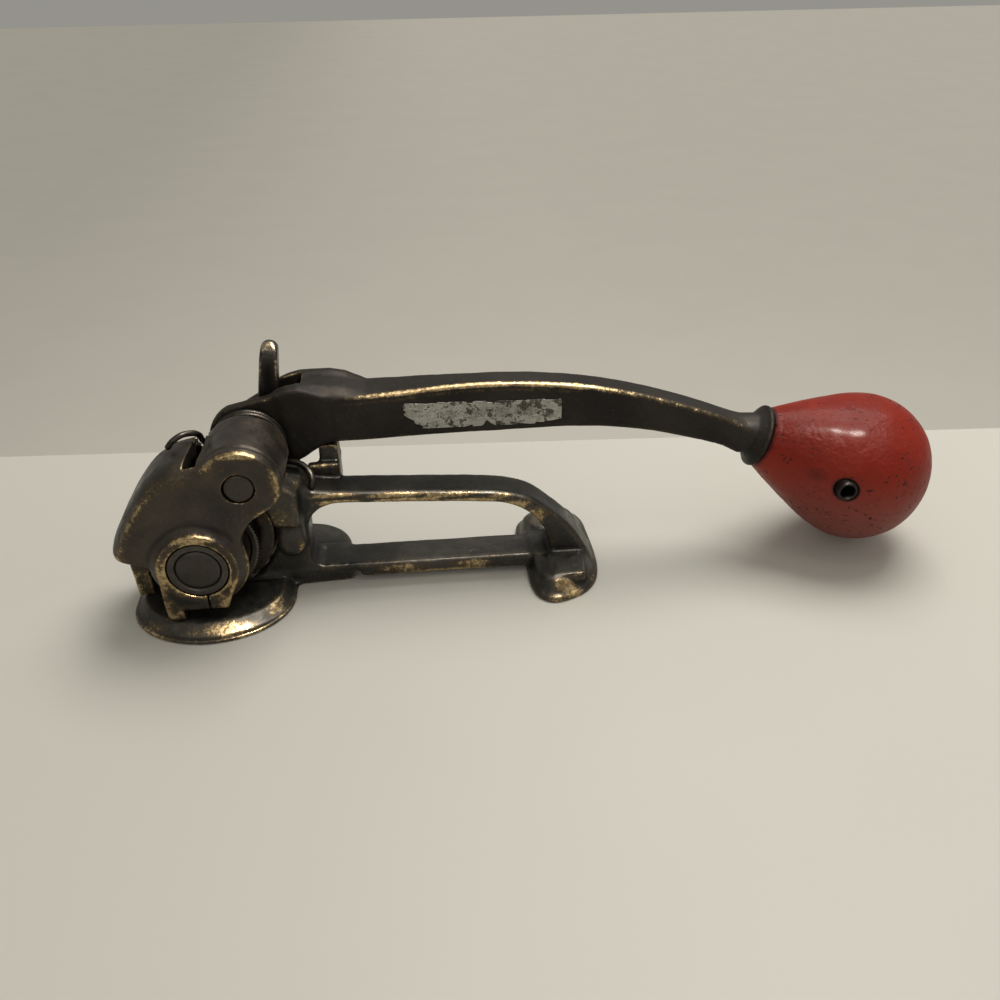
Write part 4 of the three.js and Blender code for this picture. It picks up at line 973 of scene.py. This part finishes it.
def spring_wire():
    first, last, leaves = 182, -379, -398  # degrees round the pivot
    pitch = 0.0061                         # mm along it for each degree
    coil = []
    for d in range(first, last, -14):
        a = math.radians(d)
        coil.append((PX + SPRING_R * math.cos(a), 16.75 + (first - d) * pitch, PZ + SPRING_R * math.sin(a)))
    a = math.radians(leaves)
    tail = [(PX + 14.4 * math.cos(a), 20.2, PZ + 14.4 * math.sin(a)), (33, 18.4, 50.2), (35.8, 17, 50.1),
            (38.5, 15, 49.3), (40.6, 12.6, 47.5), (41.1, 10.8, 45.4), (40.6, 9.6, 43.7)]
    obj = swept("torsion_wire", [*SPRING_LEG, *coil, *tail], SPRING_WIRE, 420, sides=14, swell=0.22)
    rub = [(-2, 1.5, 71.4, (4, 3, 2), 0.5), (37, 17.4, 51, (5, 4, 2.4), 0.55), (41, 12, 48.6, (3, 3, 3), 0.5)]
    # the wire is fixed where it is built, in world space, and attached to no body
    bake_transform(marked(obj, rub, None))
    finished(obj, "spring", "torsion_spring")
    plunger = turned("plunger_turned", [(0, 0), (1.2, 0.4), (2.0, 1.4), (2.3, 2.4), (2.3, 7.7), (2.0, 8),
                                        (0, 8)], (35.8, 31, 70.5), (1, 0, 0), 48)
    placed(marked(plunger), "lever", "steel_bright", "pawl_plunger")
    turns = [(44.3 + i * 0.155, 31 + 1.6 * math.cos(i * 0.55), 70.5 + 1.6 * math.sin(i * 0.55))
             for i in range(49)]
    placed(marked(swept("plunger_coil", turns, 0.33, 220, sides=8), (), None), "lever", "spring",
           "plunger_spring")


def plain_pins():
    def pin(name, r, x, z, y0, y1, body, node):
        steps = [(0, 0.35), (0.7, 0.1), (r - 0.5, 0), (r - 0.1, 0.25), (r, 0.6), (r, y1 - y0 - 0.6),
                 (r - 0.4, y1 - y0), (0, y1 - y0)]
        placed(marked(turned(name, steps, (x, y0, z), n=48)), body, "steel_dark", node)
    pin("finger_pin_turned", 2.0, FX, FZ, CHEEK_A[0] + 1.6, CHEEK_B[1] - 0.1, "lever", "finger_pin")
    pin("catch_pin_turned", 1.5, CX, CZ, 20.4, 34.2, "base", "catch_pin")
    c = Casting((-5.1, -4.9, 2.4), (5.1, 5.3, 6.7), 0.2)
    c.add(post(0, 0.2, 5.0, 2.5, 6.6, 0.3))
    for k in range(-3, 4):  # gripping cuts across the strap
        c.cut(tube([(k * 1.35, -7, 7.0), (k * 1.35, 7, 7.0)], 0.62))
    placed(cast("gripper_face", c, 9000), "base", "steel_bright", "gripper_plug")
    c = Casting((-1.6, -3.6, WHEEL_Z + 5.6), (1.6, 12.2, WHEEL_Z + 9.4), 0.2)
    c.add(block(-1.5, 1.5, -3.5, 12.1, WHEEL_Z + 5.7, WHEEL_Z + 9.3, 0.3))
    placed(cast("key_bar", c, 4000), "feedwheel", "steel_bright", "drive_key")


# ---- label and knob ----
def label():
    """A thin worn foil plate with blunt, chipped edges."""
    corners = [(77, 70.8), (138, 69.4), (138, 61), (134, 59.2), (84, 59.6), (77, 66)]
    outline = []
    for (ax, az), (bx, bz) in zip(corners, corners[1:] + corners[:1]):
        n = max(2, int(math.hypot(bx - ax, bz - az) / 0.45))
        outline += [(ax + (bx - ax) * k / n, az + (bz - az) * k / n) for k in range(n)]
    p = np.array([(x, 0, z) for x, z in outline])
    mid = p.mean(0)
    inward = (mid - p) / np.linalg.norm(mid - p, axis=1)[:, None]
    chip = np.clip(value_noise(p, 1.6, 5) - 0.60, 0, 1) * 3.4 + np.clip(value_noise(p, 4.2, 8) - 0.60, 0,
                                                                        1) * 6.5
    p = p + inward * (chip + 0.05)[:, None]
    outline = [(a[0], a[2]) for a in p]
    c = Casting((76.6, LEVER_Y[0] - 0.6, 58.8), (138.4, LEVER_Y[0] + 0.5, 71.2), 0.16)
    c.add(plate(outline, LEVER_Y[0] - 0.22, LEVER_Y[0] + 0.1, 0.08))
    worn = [(x, LEVER_Y[0], 65, (11, 3, 5), 1.0) for x in (94, 104, 114,
                                                           124)] + [(84, LEVER_Y[0], 66.5, (4, 3, 3), 0.7)]
    obj = cast("label_foil", c, 40000, rub=worn)
    return placed(obj, "lever", "label", "label_plate")


def knob():
    profile = spline([(11.9, KNOB_MOUTH), (12.8, -39.8), (17.0, -32.4), (22.5, -21.6), (27.6, -10.4),
                      (30, 0.4), (28.4, 11), (23.4, 19.8), (15.7, 26.0), (7.8, 29.1), (0.001, 29.9)], 110)
    profile[-1] = (0, 29.9)
    socket = [(0, -6.6), (6.2, -6.6), (7.7, -7.8), (7.7, -41.4), (8.1, KNOB_MOUTH), (11.5, KNOB_MOUTH)]
    profile = socket + profile[1:]
    obj = turned("knob_body", profile, KNOB, KNOB_AXIS, 180, side=(0, 1, 0))
    bore = turned("bore", [(0, -40), (PIN_BORE, -40), (PIN_BORE, 40), (0, 40)], PIN_AT, KNOB_SIDE, 72)
    smooth_shaded(obj)
    p, n = coords(obj.data), normals(obj.data)
    out = np.linalg.norm(np.cross(p - KNOB, KNOB_AXIS), axis=1) > 8.4
    soft = (value_noise(p, 9, 91) - 0.62) * 0.22 + (value_noise(p, 3.6, 92) - 0.6) * 0.09
    dent = -0.34 * np.clip(value_noise(p, 3.1, 93) - 0.78, 0, 1) * 4.2
    p = p + n * (np.minimum(soft + dent, 0) * out)[:, None]
    obj.data.vertices.foreach_set("co", (p * MM).astype(np.float32).ravel())
    m = obj.modifiers.new("bore", "BOOLEAN")
    m.operation, m.object, m.solver = "DIFFERENCE", bore, "EXACT"
    apply_modifiers(obj)
    bpy.data.objects.remove(bore)
    smear = PIN_AT - KNOB_SIDE * 27 - KNOB_AXIS * 12.5
    marked(obj, [(*smear, (6.5, 9, 5), 1.0)], 40)
    q = coords(obj.data)
    along = (q - KNOB) @ KNOB_AXIS
    rim = np.exp(-((np.linalg.norm(np.cross(q - PIN_AT, KNOB_SIDE), axis=1) - PIN_BORE) / 0.9) ** 2)
    mouth = np.exp(-((along - KNOB_MOUTH) / 1.6) ** 2)
    set_attribute(obj.data, "edge", np.clip(np.maximum(rim, mouth), 0, 1))
    placed(obj, "lever", "red_lacquer", "knob")
    # the rolled pin, a plain tube standing out of both sides of the knob
    tube_profile = [(2.7, 0.5), (3.0, 0.0), (3.6, 0.0), (4.1, 0.7), (4.1, 56.3), (3.6, 57), (3.0, 57),
                    (2.7, 56.5)]
    pin = turned("roll_pin_tube", tube_profile, PIN_AT - KNOB_SIDE * 28.5, KNOB_SIDE, 72, closed=True)
    placed(marked(pin), "lever", "steel_dark", "knob_roll_pin")


# ---- materials ----
BARE_METAL = 0.97      # metallic where the black is rubbed off
STEEL_METAL = 0.92     # metallic of turned and ground steel
SOOT_RED = (0.060, 0.014, 0.011)


class Nodes:
    """Short way to write a material's nodes."""

    def __init__(self, name):
        self.mat = bpy.data.materials.new(name)
        self.mat.use_nodes = True
        self.tree = self.mat.node_tree
        self.tree.nodes.clear()
        self.out = self.add("ShaderNodeOutputMaterial")
        self.bsdf = self.add("ShaderNodeBsdfPrincipled")
        self.link(self.bsdf.outputs[0], self.out.inputs[0])
        self.where = self.add("ShaderNodeTexCoord").outputs["Object"]

    def add(self, kind):
        return self.tree.nodes.new(kind)

    def link(self, a, b):
        self.tree.links.new(a, b)

    def put(self, socket, value):
        if isinstance(value, bpy.types.NodeSocket):
            self.link(value, socket)
        elif isinstance(value, (tuple, list)) and len(value) == 3 and socket.type == "RGBA":
            socket.default_value = (*value, 1)
        else:
            socket.default_value = value

    def stretched(self, scale):
        n = self.add("ShaderNodeMapping")
        self.link(self.where, n.inputs["Vector"])
        n.inputs["Scale"].default_value = scale
        return n.outputs[0]

    def noise(self, size_mm, detail=4.0, rough=0.55, warp=0.0, at=None, seed=0.0):
        n = self.add("ShaderNodeTexNoise")
        n.noise_dimensions = "4D"
        n.inputs["W"].default_value = seed
        self.link(at or self.where, n.inputs["Vector"])
        n.inputs["Scale"].default_value = 1000.0 / size_mm
        n.inputs["Detail"].default_value = detail
        n.inputs["Roughness"].default_value = rough
        n.inputs["Distortion"].default_value = warp
        return n.outputs[0]

    def cells(self, size_mm):
        n = self.add("ShaderNodeTexVoronoi")
        self.link(self.where, n.inputs["Vector"])
        n.inputs["Scale"].default_value = 1000.0 / size_mm
        return n.outputs["Distance"]

    def attribute(self, name):
        n = self.add("ShaderNodeAttribute")
        n.attribute_name = name
        return n.outputs["Fac"]

    def place_along(self, axis):
        """The place along one of its axes, in metres."""
        parts = self.add("ShaderNodeSeparateXYZ")
        self.link(self.where, parts.inputs[0])
        return parts.outputs[axis]

    def ramp(self, value, a, b, lo=0.0, hi=1.0):
        """Smooth step from lo to hi as value goes from a to b."""
        n = self.add("ShaderNodeMapRange")
        n.interpolation_type = "SMOOTHSTEP"
        self.put(n.inputs["Value"], value)
        for k, v in (("From Min", a), ("From Max", b), ("To Min", lo), ("To Max", hi)):
            n.inputs[k].default_value = v
        return n.outputs["Result"]

    def math(self, op, a, b):
        n = self.add("ShaderNodeMath")
        n.operation = op
        self.put(n.inputs[0], a)
        self.put(n.inputs[1], b)
        return n.outputs[0]

    def times(self, a, b):
        return self.math("MULTIPLY", a, b)

    def plus(self, a, b):
        return self.math("ADD", a, b)

    def minus(self, a, b):
        return self.math("SUBTRACT", a, b)

    def most(self, a, b):
        return self.math("MAXIMUM", a, b)

    def mix(self, f, a, b):
        n = self.add("ShaderNodeMix")
        n.data_type = "RGBA"
        self.put(n.inputs["Factor"], f)
        self.put(n.inputs["A"], a)
        self.put(n.inputs["B"], b)
        return n.outputs["Result"]

    def bump(self, height, distance_mm, strength=1.0, under=None):
        n = self.add("ShaderNodeBump")
        n.inputs["Strength"].default_value = strength
        n.inputs["Distance"].default_value = distance_mm * MM
        self.put(n.inputs["Height"], height)
        if under is not None:
            self.link(under, n.inputs["Normal"])
        return n.outputs[0]

    def done(self, **sockets):
        for k, v in sockets.items():
            self.put(self.bsdf.inputs[k.replace("_", " ")], v)
        return self.mat


def scaled(colour, by):
    return tuple(by * c for c in colour)


def worn_black(name, dark, mid, gold, pale, rough, seed, wear=1.0, metal=0.6, shine=0.5):
    """Old blackened steel, oily and brown in the hollows, rubbed to a brassy shine on its edges."""
    n = Nodes(name)
    big, mid_n = n.noise(34, 5, 0.6, 0.4, seed=seed), n.noise(7, 7, 0.62, 0.2, seed=seed + 1)
    fine, speck = n.noise(1.5, 5, 0.65, seed=seed + 2), n.noise(0.55, 3, 0.6, seed=seed + 3)
    edge, broad, spot = n.attribute("edge"), n.attribute("round"), n.attribute("rub")
    chafe = n.times(n.minus(mid_n, 0.5), 1.1)
    grain = n.times(n.minus(n.plus(fine, speck), 1.0), 1.15)
    some = n.ramp(n.noise(19, 3, 0.5, 0.3, seed=seed + 5), 0.36, 0.64, 0.30, 1.0)
    place = n.plus(n.times(n.times(edge, 0.85 * wear), some), n.times(broad, 0.16 * wear))
    place = n.plus(place, n.times(spot, 0.9))
    mask = n.plus(n.plus(place, chafe), grain)
    bare = n.ramp(mask, 0.62, 1.05)
    brown = n.ramp(mask, 0.22, 0.74)
    base = n.mix(n.ramp(big, 0.34, 0.66), dark, mid)
    base = n.mix(n.ramp(fine, 0.52, 0.78, 0.0, 0.5), base, scaled(mid, 1.9))
    base = n.mix(n.times(brown, 0.55), base, scaled(gold, 0.45))
    metal_colour = n.mix(n.ramp(fine, 0.36, 0.66), gold, pale)
    colour = n.mix(bare, base, metal_colour)
    grime = n.ramp(broad, -0.10, -0.55, 0.0, 0.75)  # in the hollows
    colour = n.mix(grime, colour, scaled(dark, 0.35))
    r = n.ramp(mid_n, 0.3, 0.7, *rough)
    r = n.plus(r, n.times(n.minus(fine, 0.5), 0.22))
    r = n.minus(r, n.times(bare, 0.08))
    m = n.plus(metal, n.times(bare, BARE_METAL - metal))
    pits = n.ramp(n.cells(2.1), 0.0, 0.42)
    pitted = n.times(n.minus(1.0, pits), n.ramp(big, 0.45, 0.7))
    b = n.bump(fine, 0.16, 0.5)
    b = n.bump(speck, 0.07, 0.5, b)
    b = n.bump(n.times(pitted, -1.0), 0.12, 0.45, b)
    b = n.bump(n.times(bare, -1.0), 0.05, 0.4, b)
    return n.done(Base_Color=colour, Roughness=r, Metallic=m, Normal=b, Specular_IOR_Level=shine)


def machined(name, dark, light, seed, rough=(0.24, 0.42)):
    """Turned or ground steel, oiled and dirty."""
    n = Nodes(name)
    big, mid_n = n.noise(12, 5, 0.6, 0.3, seed=seed), n.noise(2.6, 6, 0.6, seed=seed + 1)
    fine = n.noise(0.6, 4, 0.6, seed=seed + 2)
    edge, spot = n.attribute("edge"), n.attribute("rub")
    lines = n.noise(0.9, 3, 0.5, at=n.stretched((1.0, 9.0, 1.0)), seed=seed + 3)
    worn = n.ramp(n.plus(n.plus(n.times(edge, 1.1), spot), n.minus(mid_n, 0.5)), 0.28, 0.85)
    base = n.mix(n.ramp(big, 0.3, 0.7), dark, tuple(0.6 * d + 0.4 * c for d, c in zip(dark, light)))
    base = n.mix(n.ramp(fine, 0.5, 0.8, 0.0, 0.45), base, light)
    colour = n.mix(worn, base, light)
    dirt = n.ramp(mid_n, 0.55, 0.72, 0.0, 0.5)
    colour = n.mix(dirt, colour, scaled(dark, 0.35))
    r = n.plus(n.ramp(big, 0.3, 0.7, *rough), n.times(dirt, 0.3))
    b = n.bump(lines, 0.04, 0.35)
    b = n.bump(fine, 0.04, 0.3, b)
    return n.done(Base_Color=colour, Roughness=r, Metallic=STEEL_METAL, Normal=b)


def red_lacquer():
    """Glossy red coat, dimpled and specked with dirt where it has been dropped."""
    n = Nodes("red_lacquer")
    big, mid_n = n.noise(28, 4, 0.5, 0.3, seed=3), n.noise(6, 5, 0.6, seed=4)
    peel, fine = n.noise(1.7, 3, 0.5, seed=5), n.noise(0.5, 3, 0.5, seed=6)
    edge = n.attribute("edge")
    # the last of these colours is a painted shade with a painted reflected haze, laid on towards the bottom
    deep, red, faded, shaded_hazy_red = (0.245, 0.014, 0.005), (0.33, 0.021,
                                                      0.007), (0.39, 0.034, 0.015), (0.20, 0.062, 0.048)
    base = n.mix(n.ramp(big, 0.3, 0.7), deep, red)
    base = n.mix(n.ramp(mid_n, 0.5, 0.8, 0.0, 0.35), base, faded)
    # dirt in small dents: short dark dashes, more in some places than others
    dash = n.noise(1.25, 2, 0.5, 0.6, at=n.stretched((0.62, 1.0, 1.0)), seed=8)
    here = n.ramp(n.noise(15, 3, 0.5, seed=9), 0.34, 0.56)
    dirt = n.times(n.ramp(dash, 0.613, 0.66), here)
    dirt = n.most(dirt, n.times(n.ramp(n.noise(3.6, 2, 0.5, 0.8, seed=12), 0.70, 0.75), 0.8))
    smear = n.ramp(n.noise(9, 6, 0.7, 0.8, seed=10), 0.52, 0.76, 0.0, 0.36)
    smear = n.most(smear, n.times(n.attribute("rub"), n.ramp(mid_n, 0.35, 0.6, 0.4, 1.0)))
    rim = n.ramp(n.plus(edge, n.minus(mid_n, 0.5)), 0.45, 0.95, 0.0, 0.85)
    # painted shade and a painted reflected haze: the red grows duller and darker towards the bottom
    base = n.mix(n.ramp(n.place_along(2), 0.052, 0.016, 0.0, 0.95), base, shaded_hazy_red)
    colour = n.mix(smear, base, (0.065, 0.014, 0.012))
    colour = n.mix(dirt, colour, SOOT_RED)
    colour = n.mix(rim, colour, (0.06, 0.012, 0.010))
    r = n.ramp(mid_n, 0.3, 0.7, 0.40, 0.56)
    r = n.plus(r, n.times(n.most(dirt, smear), 0.3))
    b = n.bump(mid_n, 0.6, 0.7)
    b = n.bump(peel, 0.34, 0.9, b)
    b = n.bump(n.times(dirt, -1.0), 0.14, 0.7, b)
    b = n.bump(fine, 0.03, 0.25, b)
    return n.done(Base_Color=colour, Roughness=r, Metallic=0.0, Normal=b, Specular_IOR_Level=0.12,
                  Coat_Weight=0.08, Coat_Roughness=0.16)


def worn_label():
    """Blank foil label: silvery white where it is left, brown and black where it is rubbed through."""
    n = Nodes("worn_label")
    big, mid_n = n.noise(13, 6, 0.65, 0.5, seed=21), n.noise(3.2, 7, 0.7, 0.4, seed=22)
    fine = n.noise(0.5, 4, 0.6, seed=23)
    drag = n.noise(1.6, 5, 0.6, 0.2, at=n.stretched((0.22, 1.0, 1.0)), seed=24)
    paper = n.mix(n.ramp(mid_n, 0.35, 0.65), (0.31, 0.31, 0.27), (0.58, 0.58, 0.52))
    paper = n.mix(n.ramp(drag, 0.50, 0.70, 0.0, 0.8), paper, (0.15, 0.15, 0.12))
    gone = n.ramp(n.plus(n.times(mid_n, 0.62), n.times(big, 0.48)), 0.555, 0.60)
    # rubbed to its dark backing across the middle, whiter towards the rim
    film = n.plus(n.times(n.attribute("rub"), 0.55), n.minus(fine, 0.5))
    gone = n.most(gone, n.times(n.ramp(film, 0.46, 0.66), 0.8))
    scuff = n.most(gone, n.times(n.ramp(fine, 0.555, 0.64), 0.85))
    colour = n.mix(scuff, paper, n.mix(n.ramp(fine, 0.4, 0.6), (0.035, 0.032, 0.026), (0.11, 0.10, 0.075)))
    r = n.plus(n.ramp(drag, 0.3, 0.7, 0.30, 0.5), n.times(scuff, 0.2))
    b = n.bump(n.times(scuff, -1.0), 0.08, 0.6)
    b = n.bump(drag, 0.04, 0.4, b)
    return n.done(Base_Color=colour, Roughness=r, Metallic=0.35, Normal=b)


def finishes():
    # hollows, faces, rubbed edges and the brightest of the rub
    casting = worn_black("worn_casting", (0.028, 0.024, 0.020), (0.060, 0.048, 0.036), (0.25, 0.165, 0.072),
                         (0.52, 0.41, 0.23), (0.27, 0.52), 1.0)
    lever_m = worn_black("worn_lever", (0.015, 0.013, 0.012), (0.032, 0.027, 0.022), (0.25, 0.17, 0.08),
                         (0.54, 0.43, 0.26), (0.42, 0.62), 4.0, wear=0.8, metal=0.35, shine=0.2)
    base_m = worn_black("worn_base", (0.031, 0.029, 0.025), (0.074, 0.069, 0.057), (0.26, 0.175, 0.080),
                        (0.54, 0.43, 0.25), (0.28, 0.52), 1.0)
    finger = worn_black("worn_finger", (0.015, 0.014, 0.013), (0.032, 0.028, 0.024), (0.26, 0.20, 0.13),
                        (0.46, 0.40, 0.30), (0.26, 0.46), 7.0, wear=0.8)
    # darkest and lightest
    dark_steel = machined("dark_steel", (0.042, 0.038, 0.033), (0.105, 0.096, 0.082), 2.0, (0.3, 0.46))
    bright = machined("bright_steel", (0.20, 0.19, 0.175), (0.46, 0.44, 0.40), 3.0)
    bronze = machined("oily_bronze", (0.20, 0.12, 0.05), (0.46, 0.31, 0.14), 5.0)
    black = machined("blackened_pin", (0.010, 0.009, 0.008), (0.036, 0.033, 0.029), 9.0, (0.4, 0.55))
    wire = machined("spring_steel", (0.018, 0.017, 0.015), (0.085, 0.076, 0.064), 6.0, (0.3, 0.44))
    clip = machined("blued_clip", (0.05, 0.048, 0.047), (0.20, 0.19, 0.18), 8.0)
    red, foil = red_lacquer(), worn_label()
    own = {"casting": casting, "steel_dark": dark_steel, "steel_bright": bright, "bronze": bronze,
           "spring": wire, "red_lacquer": red, "label": foil}
    special = {"lever_body": lever_m, "finger_pawl": finger, "pivot_clip": clip, "shaft_clip": clip,
               "base_body": base_m, "roll_pin_tube": black}
    for name, obj in PIECES.items():
        obj.data.materials.clear()
        obj.data.materials.append(special.get(name) or own[obj["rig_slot"]])


# ---- camera, floor and light ----
CAMERA_AT = (83.458, -322.36, 236.89)        # mm
LOOKS_DOWN, TURNED, ROLLED = 31.5, 5, 0.8    # degrees
LENS, SENSOR = 36.0, 36.0                    # mm


def camera():
    down, turn, roll = (math.radians(a) for a in (LOOKS_DOWN, TURNED, ROLLED))
    f = Vector((math.sin(turn) * math.cos(down), math.cos(turn) * math.cos(down), -math.sin(down)))
    right = Vector((math.cos(turn), -math.sin(turn), 0))
    up = right.cross(f)
    r = right * math.cos(roll) - up * math.sin(roll)
    u = right * math.sin(roll) + up * math.cos(roll)
    m = Matrix((r, u, -f)).transposed().to_4x4()
    m.translation = Vector(CAMERA_AT) * MM
    data = bpy.data.cameras.new("camera")
    data.sensor_width, data.lens = SENSOR, LENS
    data.clip_start, data.clip_end = 0.01, 50
    cam = bpy.data.objects.new("camera", data)
    cam.matrix_world = m
    bpy.context.scene.collection.objects.link(cam)
    bpy.context.scene.camera = cam


def plain(name, colour, rough, speck, painted_glow=None):
    """Painted sheet, a little speckled; its glow is painted light, an emission that lifts its colour more to
    the right.
    """
    n = Nodes(name)
    a = n.noise(160, 3, 0.5, seed=31)
    fine = n.noise(1.4, 3, 0.5, seed=32)
    base = n.mix(n.ramp(a, 0.3, 0.7), scaled(colour, 0.97), colour)
    base = n.mix(n.ramp(fine, 0.62, 0.8, 0.0, speck), base, scaled(colour, 0.8))
    if painted_glow:
        # painted light: the sheet emits a colour, stronger towards the right
        shade = n.mix(n.ramp(n.place_along(0), -1.3, 0.5), scaled(painted_glow, 0.5), painted_glow)
        n.done(Emission_Color=shade, Emission_Strength=1.0)
    return n.done(Base_Color=base, Roughness=rough, Normal=n.bump(fine, 0.05, 0.2))


def stage_set():
    def sheet(name, corners, mat):
        o = to_object(name, np.array(corners, float) / MM, [(0, 1, 2, 3)])
        o.data.materials.append(mat)
    # the table ends behind the tool; a lower floor shows beyond its edge
    table = plain("pale_table", (0.72, 0.705, 0.64), 0.55, 0.06)
    # the lower floor glows with painted light, brighter to the right
    beyond = plain("pale_floor", (0.80, 0.775, 0.70), 0.8, 0.03, (0.19, 0.178, 0.150))
    left, right, wide, low = -1.9, 2.2, 9, -0.7
    sheet("table_top", [(left, -1.6, 0), (right, -1.6, 0), (right, 0.0021, 0), (left, 0.2300, 0)], table)
    sheet("floor", [(-wide, -wide, low), (wide, -wide, low), (wide, wide, low), (-wide, wide, low)], beyond)


def light(name, at, to, size, watts, colour, shines):
    data = bpy.data.lights.new(name, "AREA")
    data.shape, data.size, data.size_y = "RECTANGLE", size[0], size[1]
    data.energy, data.color = watts, colour
    o = bpy.data.objects.new(name, data)
    o.location = at
    o.rotation_mode = "QUATERNION"
    o.rotation_quaternion = (Vector(to) - Vector(at)).to_track_quat("-Z", "Y")
    o.visible_diffuse = shines
    bpy.context.scene.collection.objects.link(o)


# name, place and aim in metres, size, watts, colour, whether it lights matt surfaces
LIGHTS = [("ceiling", (0.46, 0.42, 1.05), (0.18, 0.0, 0.02), (0.80, 0.60), 9.0, (1.0, 0.965, 0.90), True),
          ("glint", (0.32, -0.236, 1.03), (0.24, 0.0, 0.03), (0.15, 0.13), 13.0, (1.0, 0.93, 0.84), False),
          ("front_fill", (-0.35, -1.1, 0.75), (0.1, 0, 0.03), (0.9, 0.7), 1.2, (1.0, 0.96, 0.90), True),
          ("side_fill", (1.1, -0.3, 0.5), (0.15, 0, 0.03), (0.6, 0.6), 0.5, (1.0, 0.97, 0.93), True)]
ROOM_COLOUR, ROOM_STRENGTH = (1.0, 0.965, 0.88, 1), 0.30


def lights():
    for each in LIGHTS:
        light(*each)
    world = bpy.data.worlds.new("soft_room")
    world.use_nodes = True
    room = world.node_tree.nodes["Background"].inputs
    room[0].default_value, room[1].default_value = ROOM_COLOUR, ROOM_STRENGTH
    bpy.context.scene.world = world
    bpy.context.scene.view_settings.view_transform = "Standard"


# ---- the whole tool ----
camera()
for make in (base_casting, housing_arm, gear_cover, lever, finger_pawl, catch_pawl, feedwheel, toothed_wheels,
             shaft_and_bushes, pivot_pieces, cap_screws, spring_wire, plain_pins, label, knob):
    make()
finishes()
stage_set()
lights()
